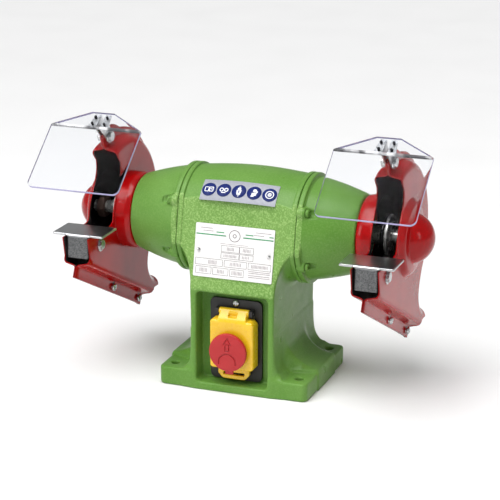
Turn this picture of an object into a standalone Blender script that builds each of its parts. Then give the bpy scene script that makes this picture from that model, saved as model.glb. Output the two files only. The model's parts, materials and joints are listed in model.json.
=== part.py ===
"""Bench grinder with a cast pedestal, two sheet-steel wheel guards and a hinged switch lid.

Frame: X runs along the spindle, the operator stands at -Y, Z points up.
The origin is the centre of the foot on the bench surface.
Sizes below are in millimetres; the helpers turn them into metres.
"""
import math

import bmesh
import bpy
from mathutils import Vector

MM = 0.001
GAP = 0.3                      # clearance between pieces that touch

# ---------------------------------------------------------------- driving sizes
SPINDLE_Z = 180.0              # spindle axis above the bench
GUARD_X = 165.2                # middle plane of each wheel guard

FOOT_W, FOOT_D, FOOT_H = 175.0, 138.4, 21.0
FOOT_CORNER = 7.0
BOLT_X, BOLT_Y, BOLT_R = 74.0, 52.0, 4.5
WEB_HALF_Y = 34.0              # raised web of the foot between the bolt pads
WEB_Z = 24.5                   # height of the web at the foot's edge
COLUMN_HALF_X, COLUMN_HALF_Y = 48.0, 69.0
COLUMN_TOP = 118.0             # where the leaning front face starts
FACE_LEAN = math.radians(11.5)

BARREL_R_END, BARREL_R_MID = 59.5, 63.5
BARREL_HALF = 63.5             # inner side of the joint lips
JOINT_X = 69.0                 # joint between housing and end bells
LIP_R, LIP_W = 62.0, 5.5
BORE_R = 51.5
COVER_HALF_X, COVER_HALF_Y, COVER_T = 62.0, 52.0, 1.6
CAVITY_HALF_X = 38.0           # hollow of the column under the motor
GLAND_Y, GLAND_Z = 69.0, 40.0

NAMEPLATE_HALF_X, NAMEPLATE_HALF_Z, NAMEPLATE_T = 46.0, 29.5, 0.8
NAMEPLATE_Z, RIVET_X = 160.5, 41.0
LABEL_HALF_X, LABEL_ARC = 44.0, (122.0, 146.0)

BELL_END_X, BELL_END_R = 131.6, 42.6
BELL_WALL = 5.0
BELL_SCREW_R, BELL_SCREW_X = 57.0, 78.5
BEARING_R, BEARING_BORE, BEARING_W = 20.0, 8.5, 12.0
BEARING_X = 118.0

POCKET_HALF_X, POCKET_Z0, POCKET_Z1 = 42.0, 9.0, 114.0
POCKET_FLOOR_Y = -50.0
PLATE_HALF_X, PLATE_Z0, PLATE_Z1, PLATE_T = 30.5, 10.5, 105.0, 3.7
LID_HALF_X, LID_Z0, LID_Z1, LID_FACE_Y = 27.0, 26.5, 86.0, -70.0
LID_PIN_Y, LID_PIN_Z, LID_PIN_R = -58.5, 92.0, 1.5
STOP_X, STOP_Z, STOP_R = -1.5, 50.0, 21.8
START_Z = 71.0
BUTTON_HALF_X, BUTTON_HALF_Z, BUTTON_FRONT_Y = 8.6, 8.5, -63.0
PLATE_SCREW_Z = 100.5

SHEET = 1.5                    # guard sheet thickness
GUARD_HALF = 15.7              # half width of a guard over its side plates
GUARD_R = 84.0                 # guard band radius at the seam
SEAM_FLANGE = 8.5
DUCT_FRONT_Y, DUCT_TOP_Z = -114.0, 174.4
DISH_R = 44.0
DOME_R = 29.0

PANE_T = 3.0
PANE_HALF_W, PANE_TOP_HALF_W = 54.4, 13.4
PANE_FRONT = (-121.0, 231.0)   # (y, z) of the lower edge
PANE_FOLD = (-55.0, 286.0)
PANE_TOP = (-34.0, 298.0)
SHIELD_PIVOT = (-28.0, 270.0)

REST_HALF_W, REST_FRONT_Y, REST_REAR_Y = 30.0, -109.0, -69.7
REST_TOP_Z, REST_T = 177.7, 2.5
REST_BOLT = (-84.0, 161.0)

BRACKET_W, BRACKET_T = 26.0, 1.8
EAR_X, EAR_T = 3.2, 2.0        # two ears straddle the seam flange

STATOR_HALF_X, STATOR_BORE = 30.0, 31.0
ROTOR_BORE = 10.0
FLANGE_SEAT_X, FLANGE_R = 152.0, 24.0
THREAD_R, NUT_SEAT_R = 7.0, 7.8
NUT_X, NUT_R, NUT_W = 183.0, 13.3, 8.0
SHAFT_END_X = 194.0
CAPACITOR_Y = 32.0

# Front edge of a guard's side plate, from the duct mouth to the hood, as (y, z).
FRONT_EDGE = [(DUCT_FRONT_Y, DUCT_TOP_Z), (-53.0, DUCT_TOP_Z), (-47.5, 178.0), (-46.0, 190.0),
              (-40.0, 202.0), (-30.0, 214.0), (-22.0, 228.0), (-24.0, 240.0)]
SEAM_SCREWS = ((-24.0, 91.5), (46.0, 56.5))

# ---------------------------------------------------------------- scene set-up


def clear_scene():
    for obj in list(bpy.data.objects):
        bpy.data.objects.remove(obj, do_unlink=True)
    for name in ("bench_grinder", "cutters"):
        old = bpy.data.collections.get(name)
        if old:
            bpy.data.collections.remove(old)


def new_collection(name):
    collection = bpy.data.collections.new(name)
    bpy.context.scene.collection.children.link(collection)
    return collection


def material(name, colour, roughness=0.5, metallic=0.0, alpha=1.0):
    mat = bpy.data.materials.get(name) or bpy.data.materials.new(name)
    mat.use_nodes = True
    shader = mat.node_tree.nodes["Principled BSDF"]
    shader.inputs["Base Color"].default_value = (*colour, 1.0)
    shader.inputs["Roughness"].default_value = roughness
    shader.inputs["Metallic"].default_value = metallic
    shader.inputs["Alpha"].default_value = alpha
    mat.diffuse_color = (*colour, alpha)
    return mat


def add_object(name, mesh, mat=None):
    """Link a mesh as a finished piece, or as a hidden helper when it has no material."""
    obj = bpy.data.objects.new(name, mesh)
    if mat is None:
        CUTTERS.objects.link(obj)
        obj.hide_render = True
        obj.display_type = "WIRE"
    else:
        mesh.materials.append(mat)
        PARTS.objects.link(obj)
    return obj


# ---------------------------------------------------------------- shape helpers


def box(name, low, high, mat=None, bevel=0.0, segments=2):
    """Axis-aligned box between two corners, with optional rounded edges."""
    size = [(h - l) * MM for l, h in zip(low, high)]
    mesh = bpy.data.meshes.new(name)
    bm = bmesh.new()
    bmesh.ops.create_cube(bm, size=1.0)
    bmesh.ops.scale(bm, vec=size, verts=bm.verts)
    bm.to_mesh(mesh)
    bm.free()
    obj = add_object(name, mesh, mat)
    obj.location = [(l + h) / 2 * MM for l, h in zip(low, high)]
    if bevel:
        add_bevel(obj, bevel, segments)
    return obj


def add_bevel(obj, width, segments=2, angle=40.0):
    bevel = obj.modifiers.new("rounded_edges", "BEVEL")
    bevel.width = width * MM
    bevel.segments = segments
    bevel.limit_method = "ANGLE"
    bevel.angle_limit = math.radians(angle)
    return bevel


AXIS_ROTATION = {"X": (0.0, math.pi / 2, 0.0), "Y": (math.pi / 2, 0.0, 0.0), "Z": (0.0, 0.0, 0.0)}


def cylinder(name, radius, length, centre, axis="X", mat=None, sides=24):
    """Cylinder, or a hexagon with sides=6, centred on a point."""
    mesh = bpy.data.meshes.new(name)
    bm = bmesh.new()
    bmesh.ops.create_cone(bm, cap_ends=True, segments=sides, radius1=radius * MM,
                          radius2=radius * MM, depth=length * MM)
    bm.to_mesh(mesh)
    bm.free()
    obj = add_object(name, mesh, mat)
    obj.location = [c * MM for c in centre]
    obj.rotation_euler = AXIS_ROTATION[axis]
    if sides > 8:
        shade(obj)
    return obj


def shade(obj, angle=35.0):
    obj.data.shade_smooth()
    obj.data.set_sharp_from_angle(angle=math.radians(angle))


def turned(name, profile, mat=None, steps=32, centre=(0.0, 0.0, 0.0), axis="X", flip=False):
    """Body of revolution from a closed outline of (radius, height along the axis)."""
    points = [(r * MM, (-h if flip else h) * MM) for r, h in profile]
    area = sum(a[0] * b[1] - b[0] * a[1] for a, b in zip(points, points[1:] + points[:1]))
    if area > 0:               # the outer side has to run from top to bottom
        points.reverse()
    on_axis = [r == 0.0 for r, _ in points]
    mesh = bpy.data.meshes.new(name)
    count = len(points)
    edges = [(i, (i + 1) % count) for i in range(count)
             if not (on_axis[i] and on_axis[(i + 1) % count])]
    mesh.from_pydata([(r, 0.0, h) for r, h in points], edges, [])
    obj = add_object(name, mesh, mat)
    obj.location = [c * MM for c in centre]
    obj.rotation_euler = AXIS_ROTATION[axis]
    screw = obj.modifiers.new("turn", "SCREW")
    screw.angle = 2 * math.pi
    screw.steps = steps
    screw.render_steps = steps
    screw.use_merge_vertices = True
    screw.merge_threshold = 0.00005
    screw.use_smooth_shade = False
    return obj


PLANE_ROTATION = {"XY": (0.0, 0.0, 0.0), "XZ": (math.pi / 2, 0.0, 0.0),
                  "YZ": (math.pi / 2, 0.0, math.pi / 2)}


def slab(name, outline, thickness, centre, plane="YZ", mat=None):
    """Flat outline with a thickness, centred on its plane, as a welded mesh."""
    curve = bpy.data.curves.new(name + "_outline", "CURVE")
    curve.dimensions = "2D"
    curve.fill_mode = "BOTH"
    curve.extrude = thickness / 2 * MM
    spline = curve.splines.new("POLY")
    spline.points.add(len(outline) - 1)
    for point, (u, v) in zip(spline.points, outline):
        point.co = (u * MM, v * MM, 0.0, 1.0)
    spline.use_cyclic_u = True
    guide = bpy.data.objects.new(name + "_guide", curve)
    CUTTERS.objects.link(guide)
    bpy.context.view_layer.update()
    depsgraph = bpy.context.evaluated_depsgraph_get()
    mesh = bpy.data.meshes.new_from_object(guide.evaluated_get(depsgraph))
    bpy.data.objects.remove(guide, do_unlink=True)
    bpy.data.curves.remove(curve)
    weld(mesh)
    mesh.name = name
    obj = add_object(name, mesh, mat)
    obj.location = [c * MM for c in centre]
    obj.rotation_euler = PLANE_ROTATION[plane]
    return obj


def weld(mesh):
    bm = bmesh.new()
    bm.from_mesh(mesh)
    bmesh.ops.remove_doubles(bm, verts=bm.verts, dist=0.00001)
    bmesh.ops.recalc_face_normals(bm, faces=bm.faces)
    bm.to_mesh(mesh)
    bm.free()


def loft(name, loops, mat=None):
    """Closed body through loops that have the same number of points."""
    bm = bmesh.new()
    rings = [[bm.verts.new(Vector(p) * MM) for p in loop] for loop in loops]
    count = len(loops[0])
    for low, high in zip(rings, rings[1:]):
        for i in range(count):
            j = (i + 1) % count
            bm.faces.new((low[i], low[j], high[j], high[i]))
    bm.faces.new(rings[0])
    bm.faces.new(rings[-1])
    bmesh.ops.triangulate(bm, faces=bm.faces)
    bmesh.ops.recalc_face_normals(bm, faces=bm.faces)
    mesh = bpy.data.meshes.new(name)
    bm.to_mesh(mesh)
    bm.free()
    return add_object(name, mesh, mat)


def combine(target, other, operation):
    boolean = target.modifiers.new(operation.lower() + "_" + other.name, "BOOLEAN")
    boolean.operation = operation
    boolean.object = other
    boolean.solver = "EXACT"


def cut(target, *cutters):
    for cutter in cutters:
        combine(target, cutter, "DIFFERENCE")


def join(target, *others):
    for other in others:
        combine(target, other, "UNION")


def arc(centre, radius, start, end, count):
    """Points on a circle, angles in degrees from the first axis."""
    steps = [math.radians(start + (end - start) * i / (count - 1)) for i in range(count)]
    return [(centre[0] + radius * math.cos(a), centre[1] + radius * math.sin(a)) for a in steps]


def rounded_rectangle(half_u, half_v, radius, count=4, centre=(0.0, 0.0)):
    corners = [(1, 1, 0), (-1, 1, 90), (-1, -1, 180), (1, -1, 270)]
    points = []
    for su, sv, start in corners:
        middle = (centre[0] + su * (half_u - radius), centre[1] + sv * (half_v - radius))
        points += arc(middle, radius, start, start + 90, count)
    return points


# ---------------------------------------------------------------- cast housing


def barrel_section(x, top_radius, facet_drop=0.0, count=36):
    """Round section whose front and rear are cut flat by the leaning faces."""
    facet = COLUMN_HALF_Y * math.cos(FACE_LEAN)
    facet += (COLUMN_TOP - SPINDLE_Z) * math.sin(FACE_LEAN) - facet_drop
    loop = []
    for i in range(count):
        angle = 2 * math.pi * (i + 0.5) / count
        y, z = math.cos(angle), math.sin(angle)
        reach = abs(y) * math.cos(FACE_LEAN) + z * math.sin(FACE_LEAN)
        radius = top_radius if reach * top_radius < facet else facet / reach
        loop.append((x, radius * y, SPINDLE_Z + radius * z))
    return loop


def front_y(z):
    """Depth of the front face at a height: upright below, leaning above."""
    return COLUMN_HALF_Y - max(0.0, z - COLUMN_TOP) * math.tan(FACE_LEAN)


def column_section(z, half_x, radius):
    return [(x, y, z) for x, y in rounded_rectangle(half_x, front_y(z), radius, 4)]


def make_housing(paint):
    xs = [-BARREL_HALF, -43.0, -22.0, 0.0, 22.0, 43.0, BARREL_HALF]
    crown = BARREL_R_MID - BARREL_R_END
    loops = [barrel_section(x, BARREL_R_END + crown * math.cos(x / BARREL_HALF * math.pi / 2),
                            0.4) for x in xs]
    housing = loft("motor_housing", loops, paint)
    for side in (-1, 1):
        inner, outer = side * (BARREL_HALF - 1.0), side * JOINT_X
        lip = loft("housing_lip", [barrel_section(x, LIP_R, -1.6) for x in (inner, outer)])
        join(housing, lip)
    heights = [(4.0, 50.0, 6.0), (60.0, 48.0, 8.0), (COLUMN_TOP, COLUMN_HALF_X, 8.0),
               (134.0, 50.5, 8.0), (148.0, 55.0, 8.0), (162.0, 62.0, 8.0)]
    column = loft("column", [column_section(*item) for item in heights])
    foot = slab("foot", rounded_rectangle(FOOT_W / 2, FOOT_D / 2, FOOT_CORNER), FOOT_H,
                (0, 0, FOOT_H / 2), "XY")
    add_bevel(foot, 2.0)
    radius = FOOT_W / 2 - COLUMN_HALF_X + 4.0
    flare = arc((FOOT_W / 2 + 3.0, WEB_Z + radius), radius, 265.5, 180, 8)
    right = [(FOOT_W / 2 - 0.4, 5.0)] + flare
    web_outline = right + [(-x, z) for x, z in reversed(right)]
    web = slab("web", web_outline, 2 * WEB_HALF_Y, (0, 0, 0), "XZ")
    add_bevel(web, 3.0)
    join(housing, column, foot, web)

    bore = cylinder("bore", BORE_R, 2 * JOINT_X + 10, (0, 0, SPINDLE_Z), "X", sides=30)
    inner_y = POCKET_FLOOR_Y + 4.0
    cavity = box("cavity", (-CAVITY_HALF_X, inner_y, 3.0), (CAVITY_HALF_X, 56.0, COLUMN_TOP - 2))
    wire_hole = cylinder("wire_hole", 7.0, 30.0, (0, 20, 125), "Z", sides=16)
    recess = box("cover_recess", (-COVER_HALF_X - GAP, -COVER_HALF_Y - GAP, -5.0),
                 (COVER_HALF_X + GAP, COVER_HALF_Y + GAP, COVER_T + GAP))
    belly = box("belly", (-CAVITY_HALF_X, inner_y, 1.0), (CAVITY_HALF_X, 48.0, 6.0))
    pocket = slab("pocket", rounded_rectangle(POCKET_HALF_X, (POCKET_Z1 - POCKET_Z0) / 2, 5.0),
                  30.0, (0, POCKET_FLOOR_Y - 15.0, (POCKET_Z1 + POCKET_Z0) / 2), "XZ")
    window = box("switch_window", (-22.5, POCKET_FLOOR_Y - 2, 27.5), (22.5, -44.0, 88.5))
    gland_hole = cylinder("gland_hole", 8.0, 40.0, (0, GLAND_Y - 3.0, GLAND_Z), "Y", sides=20)
    cut(housing, bore, cavity, belly, wire_hole, recess, pocket, window, gland_hole)
    for sx in (-1, 1):
        for sy in (-1, 1):
            hole = cylinder("bolt_hole", BOLT_R, 60.0, (sx * BOLT_X, sy * BOLT_Y, 10), "Z",
                            sides=16)
            cut(housing, hole)
    for side in (-1, 1):
        for y, z in bell_screw_places():
            hole = cylinder("lip_screw_hole", 2.8, 12.0, (side * (JOINT_X - 2), y, z), "X",
                            sides=8)
            cut(housing, hole)
    screw_hole = cylinder("switch_screw_hole", 2.3, 30.0, (0, POCKET_FLOOR_Y, PLATE_SCREW_Z), "Y",
                          sides=12)
    cut(housing, screw_hole)
    return housing


def make_bottom_cover(steel):
    return box("bottom_cover", (-COVER_HALF_X, -COVER_HALF_Y, 0.0),
               (COVER_HALF_X, COVER_HALF_Y, COVER_T), steel)


# ---------------------------------------------------------------- end bells


def bell_radius(x):
    """Slightly bellied cone between the joint lip and the small end."""
    t = (x - JOINT_X) / (BELL_END_X - JOINT_X)
    return 58.5 + (BELL_END_R - 58.5) * t + 1.6 * math.sin(math.pi * t)


def make_bell(side, label, paint):
    seat0, seat1 = BEARING_X - BEARING_W / 2, BEARING_X + BEARING_W / 2
    outer = [(bell_radius(x), x) for x in (JOINT_X + LIP_W + 0.8, 100.0, 128.5)]
    outer.append((BELL_END_R - 2.0, BELL_END_X))
    inner = [(bell_radius(x) - BELL_WALL, x) for x in (118.0, 90.0)]
    profile = [(LIP_R, JOINT_X + GAP), (LIP_R, JOINT_X + LIP_W)] + outer
    profile += [(12.5, BELL_END_X), (12.5, seat1 + GAP), (BEARING_R + GAP, seat1 + GAP),
                (BEARING_R + GAP, seat0 - 1.0), (26.0, seat0 - 1.0), (26.0, 122.5)]
    profile += inner + [(bell_radius(90.0) - BELL_WALL, JOINT_X + GAP)]
    bell = turned("end_bell_" + label, profile, paint, 28, (0, 0, SPINDLE_Z), flip=side < 0)
    for y, z in bell_screw_places():
        boss = cylinder("bell_boss", 6.0, 9.0, (side * (JOINT_X + 5.2), y, z), "X", sides=8)
        relief = cylinder("screw_relief", 5.0, 30.0, (side * (BELL_SCREW_X + 15.0), y, z), "X",
                          sides=8)
        hole = cylinder("bell_screw_hole", 2.8, 40.0, (side * JOINT_X, y, z), "X", sides=8)
        join(bell, boss)
        cut(bell, relief, hole)
    for angle in (43, 137, 223, 317):
        a = math.radians(angle)
        y, z = 38.0 * math.cos(a), SPINDLE_Z + 38.0 * math.sin(a)
        lug = cylinder("bell_lug", 6.5, 16.0, (side * 121.0, y, z), "X", sides=8)
        join(bell, lug)
    return bell


def bell_screw_places():
    """(y, z) of the four screws that hold a bell, on one pitch circle."""
    angles = [math.radians(a) for a in (32, 148, 212, 328)]
    return [(BELL_SCREW_R * math.cos(a), SPINDLE_Z + BELL_SCREW_R * math.sin(a)) for a in angles]


def make_bell_screws(side, label, zinc):
    for number, (y, z) in enumerate(bell_screw_places(), 1):
        seat = BELL_SCREW_X + GAP
        screw = [(0, JOINT_X - 7.0), (2.4, JOINT_X - 7.0), (2.4, seat), (4.3, seat),
                 (4.3, seat + 2.4), (2.8, seat + 3.6), (0, seat + 3.6)]
        turned("bell_screw_%s_%d" % (label, number), screw, zinc, 8, (0, y, z), flip=side < 0)


# ---------------------------------------------------------------- labels


def make_nameplate(metal, zinc):
    """Plate and two rivets on the leaning front face."""
    normal = Vector((0.0, -math.cos(FACE_LEAN), math.sin(FACE_LEAN)))
    centre = Vector((0.0, -front_y(NAMEPLATE_Z), NAMEPLATE_Z))
    tilt = math.pi / 2 - FACE_LEAN
    outline = rounded_rectangle(NAMEPLATE_HALF_X, NAMEPLATE_HALF_Z, 1.2, 3)
    plate = slab("nameplate", outline, NAMEPLATE_T, (0, 0, 0), "XZ", metal)
    plate.rotation_euler = (tilt, 0.0, 0.0)
    plate.location = (centre + normal * (NAMEPLATE_T / 2 + GAP)) * MM
    seat = NAMEPLATE_T + 2 * GAP
    for side, label in ((-1, "left"), (1, "right")):
        hole = cylinder("rivet_hole", 1.5, 6.0, (0, 0, 0), "Z", sides=8)
        hole.rotation_euler = (tilt, 0.0, 0.0)
        spot = centre + Vector((side * RIVET_X, 0.0, 0.0))
        hole.location = spot * MM
        cut(plate, hole)
        head = [(0, 0), (1.1, 0), (1.1, seat), (2.4, seat), (1.6, seat + 1.0), (0, seat + 1.2)]
        rivet = turned("nameplate_rivet_" + label, head, zinc, 8, (0, 0, 0), "Z")
        rivet.rotation_euler = (tilt, 0.0, 0.0)
        rivet.location = (spot + normal * GAP) * MM


def make_safety_label(sticker):
    """Thin printed sheet bent over the front of the barrel."""
    loops = []
    for step in (-1.0, -0.5, 0.0, 0.5, 1.0):
        x = step * LABEL_HALF_X
        crown = (BARREL_R_MID - BARREL_R_END) * math.cos(x / BARREL_HALF * math.pi / 2)
        radius = BARREL_R_END + crown + 0.35
        outer = arc((0, SPINDLE_Z), radius + 0.4, *LABEL_ARC, 9)
        inner = arc((0, SPINDLE_Z), radius, *reversed(LABEL_ARC), 9)
        loops.append([(x, y, z) for y, z in outer + inner])
    return loft("safety_label", loops, sticker)


# ---------------------------------------------------------------- motor and spindle


def make_motor(steel, copper, aluminium):
    centre = (0, 0, SPINDLE_Z)
    end = STATOR_HALF_X
    core = [(BORE_R - GAP, -end), (BORE_R - GAP, end), (STATOR_BORE, end), (STATOR_BORE, -end)]
    turned("stator_core", core, steel, 28, centre)
    for side, label in ((-1, "left"), (1, "right")):
        coil = [(33.5, end + GAP), (48.0, end + GAP), (48.5, end + 12), (44.0, end + 19),
                (37.0, end + 19), (33.0, end + 12)]
        turned("winding_" + label, coil, copper, 20, centre, flip=side < 0)
    body_r, bore = STATOR_BORE - 0.6, ROTOR_BORE + GAP
    rotor = [(body_r, -end - 1), (body_r, end + 1), (26.0, end + 6), (bore, end + 6),
             (bore, -end - 6), (26.0, -end - 6)]
    turned("rotor_core", rotor, aluminium, 24, centre)


def make_spindle(steel):
    """Stepped shaft with bearing journals, flange seats and threaded ends."""
    journal = BEARING_BORE - GAP
    half = [(ROTOR_BORE, 104.0), (journal, 104.0), (journal, 126.0), (10.5, 126.5),
            (10.5, FLANGE_SEAT_X), (NUT_SEAT_R, FLANGE_SEAT_X), (NUT_SEAT_R, 176.0),
            (THREAD_R, 177.0), (THREAD_R, SHAFT_END_X - 1.5), (5.5, SHAFT_END_X),
            (0.0, SHAFT_END_X)]
    profile = [(r, -h) for r, h in reversed(half)] + half
    return turned("spindle_shaft", profile, steel, 18, (0, 0, SPINDLE_Z))


def make_bearings(side, label, steel):
    seat0, seat1 = BEARING_X - BEARING_W / 2, BEARING_X + BEARING_W / 2
    centre = (0, 0, SPINDLE_Z)
    turned("bearing_%s_outer" % label, [(BEARING_R, seat0), (BEARING_R, seat1),
                                        (16.4, seat1), (16.4, seat0)], steel, 24, centre,
           flip=side < 0)
    turned("bearing_%s_inner" % label, [(16.0, seat0), (16.0, seat1), (BEARING_BORE, seat1),
                                        (BEARING_BORE, seat0)], steel, 24, centre, flip=side < 0)


def make_wheel_seat(side, label, steel, zinc):
    """Inner and outer wheel flanges with the spindle nut run back on the thread."""
    centre = (0, 0, SPINDLE_Z)
    bore = NUT_SEAT_R + GAP
    seat = FLANGE_SEAT_X + GAP
    face = seat + 5.1
    inner = [(FLANGE_R, seat + 1.5), (FLANGE_R, face - 1.0), (FLANGE_R - 1.5, face), (bore, face),
             (bore, seat), (14.0, seat), (16.0, seat + 1.5)]
    back = face + GAP
    outer = [(FLANGE_R, back + 2.3), (FLANGE_R - 1.5, back), (bore, back), (bore, back + 5.3),
             (15.0, back + 5.3), (17.0, back + 3.9), (FLANGE_R - 0.5, back + 3.9)]
    turned("flange_inner_" + label, inner, steel, 24, centre, flip=side < 0)
    turned("flange_outer_" + label, outer, steel, 24, centre, flip=side < 0)
    place = (side * NUT_X, 0, SPINDLE_Z)
    nut = cylinder("spindle_nut_" + label, NUT_R, NUT_W, place, "X", zinc, 6)
    hole = cylinder("nut_hole", THREAD_R + GAP, NUT_W + 4.0, place, "X", sides=24)
    cut(nut, hole)


# ---------------------------------------------------------------- wheel guards


def guard_path():
    """Seam line of a guard, from the front tab over the crown to the outlet, and the floor.

    Returns two lists of (y, z, flange width): the hood and the duct floor.
    """
    hood = []
    for i in range(16):
        angle = 114.5 - (114.5 + 42.0) * i / 15
        a = math.radians(angle)
        tab = max(0.0, min(1.0, (angle - 86.0) / 10.0))
        flange = SEAM_FLANGE + (16.5 - SEAM_FLANGE) * tab
        if angle < -20:
            flange = SEAM_FLANGE - (SEAM_FLANGE - 4.0) * (-20 - angle) / 22.0
        hood.append((GUARD_R * math.cos(a), SPINDLE_Z + GUARD_R * math.sin(a), flange))
    hood += [(55.0, 110.0, 3.0), (53.0, 98.0, 3.0), (58.0, 87.0, 3.0), (67.0, 79.0, 3.0),
             (78.0, 75.0, 3.0)]
    floor = []
    for i in range(3):
        t = i / 2
        floor.append((DUCT_FRONT_Y + t * 156.0, 143.0 - t * 77.0, 13.0))
    floor.append((58.0, 57.0, 13.0))
    return hood, floor


def path_normals(path):
    """Unit vectors pointing out of the guard, left of the running direction."""
    normals = []
    for i in range(len(path)):
        a, b = path[max(0, i - 1)], path[min(len(path) - 1, i + 1)]
        dy, dz = b[0] - a[0], b[1] - a[1]
        length = math.hypot(dy, dz)
        normals.append((-dz / length, dy / length))
    return normals


def guard_shell(name, side, half, paint, cuts, additions):
    """One pressed half of a guard: flange, rounded band and side plate.

    side is the guard's end of the spindle, half is -1 for the plate nearer the motor.
    """
    hood, floor = guard_path()
    direction = side * half
    middle = side * GUARD_X + direction * (GAP + SHEET) / 2
    width = GUARD_HALF - SHEET - GAP / 2
    steps = [(None, 0.0), (0.0, 0.0), (-2.0, 8.0), (-5.5, width - 1.2), (-10.0, width)]
    bm = bmesh.new()

    def strip(path, flip):
        normals = path_normals(path)
        rows = []
        for offset, across in steps:
            row = []
            for (y, z, flange), (ny, nz) in zip(path, normals):
                d = flange if offset is None else offset
                s = -1.0 if flip else 1.0
                x = middle + direction * across
                row.append(bm.verts.new(Vector((x, y + s * ny * d, z + s * nz * d)) * MM))
            rows.append(row)
        for low, high in zip(rows, rows[1:]):
            for i in range(len(path) - 1):
                bm.faces.new((low[i], low[i + 1], high[i + 1], high[i]))
        return rows[-1]

    hood_edge = strip(hood, False)
    floor_edge = strip(floor, True)
    x = middle + direction * width
    front = [bm.verts.new(Vector((x, y, z)) * MM) for y, z in FRONT_EDGE]
    bm.faces.new(hood_edge + list(reversed(floor_edge)) + front)
    bmesh.ops.recalc_face_normals(bm, faces=bm.faces)
    mesh = bpy.data.meshes.new(name)
    bm.to_mesh(mesh)
    bm.free()
    shell = add_object(name, mesh, paint)
    solid = shell.modifiers.new("sheet", "SOLIDIFY")
    solid.thickness = SHEET * MM
    solid.offset = 0.0
    solid.use_even_offset = True
    cut(shell, *cuts)
    join(shell, *additions)
    return shell


def make_guard(side, label, paint, zinc):
    axis = (0, 0, SPINDLE_Z)
    tag = "_" + label
    pivot_hole = cylinder("pivot_hole" + tag, 3.4, 12.0,
                          (side * GUARD_X, SHIELD_PIVOT[0], SHIELD_PIVOT[1]), "X", sides=10)
    screw_holes = [cylinder("seam_hole" + tag, 2.9, 12.0, (side * GUARD_X, y, z), "X", sides=8)
                   for y, z in SEAM_SCREWS]
    rest_hole = cylinder("rest_hole" + tag, 3.4, 60.0,
                         (side * GUARD_X, REST_BOLT[0], REST_BOLT[1]), "X", sides=10)

    hub_hole = cylinder("hub_hole" + tag, DISH_R - 0.4, 12.0,
                        (side * (GUARD_X - GUARD_HALF), 0, SPINDLE_Z), "X", sides=24)
    plate_x = GUARD_X - GUARD_HALF
    floor_x = BELL_END_X + GAP
    dish = [(DISH_R + 0.4, plate_x + 0.4), (DISH_R - 0.5, 137.0), (DISH_R - 5.0, floor_x),
            (13.0, floor_x), (13.0, floor_x + SHEET), (DISH_R - 5.6, floor_x + SHEET),
            (DISH_R - 2.0, 137.4), (DISH_R - 1.2, plate_x + 0.4)]
    cup = turned("dish" + tag, dish, None, 24, axis, flip=side < 0)
    guard_shell("guard_%s_inner" % label, side, -1, paint,
                [hub_hole, pivot_hole, rest_hole] + screw_holes, [cup])

    outer_x = GUARD_X + GUARD_HALF
    cap_hole = cylinder("cap_hole" + tag, DOME_R - 2.0, 12.0, (side * outer_x, 0, SPINDLE_Z),
                        "X", sides=24)
    shell_out = [(DOME_R * math.cos(a), outer_x - 1.0 + DOME_R * math.sin(a))
                 for a in (math.radians(v) for v in (0, 22, 44, 66))]
    inner_r = DOME_R - SHEET
    shell_in = [(inner_r * math.cos(a), outer_x - 1.0 + inner_r * math.sin(a))
                for a in (math.radians(v) for v in (66, 44, 22, 0))]
    top = [(0.0, outer_x - 1.0 + DOME_R), (0.0, outer_x - 1.0 + inner_r)]
    dome = turned("dome" + tag, shell_out + top + shell_in, None, 24, axis, flip=side < 0)
    guard_shell("guard_%s_outer" % label, side, 1, paint,
                [cap_hole, pivot_hole, rest_hole] + screw_holes, [dome])

    for (y, z), place in zip(SEAM_SCREWS, ("front", "rear")):
        through_bolt("guard_screw_%s_%s" % (label, place), (side * GUARD_X, y, z), 2.5,
                     2.0 + 2 * GAP, 4.4, zinc)


def through_bolt(name, centre, radius, half_grip, head_radius, mat):
    """Bolt along X with a round head at +X and a hexagon nut at -X."""
    x, y, z = centre
    head = half_grip + GAP
    profile = [(0, -head - 5.5), (radius, -head - 5.5), (radius, head), (head_radius, head),
               (head_radius, head + 2.0), (head_radius * 0.7, head + 3.2), (0, head + 3.4)]
    bolt = turned(name, profile, mat, 12, centre)
    nut = cylinder(name + "_nut", head_radius * 1.1, 4.0, (x - head - 2.0, y, z), "X", sides=6)
    join(bolt, nut)
    return bolt


# ---------------------------------------------------------------- tool rests


def make_tool_rest(side, label, zinc):
    """Flat plate on a channel that slides in the mouth of the spark duct."""
    x = side * GUARD_X
    under = REST_TOP_Z - REST_T
    rest = slab("tool_rest_" + label,
                rounded_rectangle(REST_HALF_W, (REST_REAR_Y - REST_FRONT_Y) / 2, 1.5, 3),
                REST_T, (x, (REST_FRONT_Y + REST_REAR_Y) / 2, REST_TOP_Z - REST_T / 2), "XY", zinc)
    leg = box("leg_" + label, (x - 13.2, REST_FRONT_Y, 150.0), (x + 13.2, -74.0, under + 0.5))
    hollow = box("leg_hollow_" + label, (x - 11.2, REST_FRONT_Y + 2.0, 140.0),
                 (x + 11.2, -60.0, under - 0.3))
    slot_outline = arc((-78.0, REST_BOLT[1]), 3.4, 90, -90, 7)
    slot_outline += arc((-98.0, REST_BOLT[1]), 3.4, 270, 90, 7)
    slot = slab("leg_slot_" + label, slot_outline, 40.0, (x, 0, 0), "YZ")
    join(rest, leg)
    cut(rest, hollow, slot)
    through_bolt("rest_bolt_" + label, (x, REST_BOLT[0], REST_BOLT[1]), 2.9, GUARD_HALF,
                 6.0, zinc)
    return rest


# ---------------------------------------------------------------- eye shields


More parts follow.
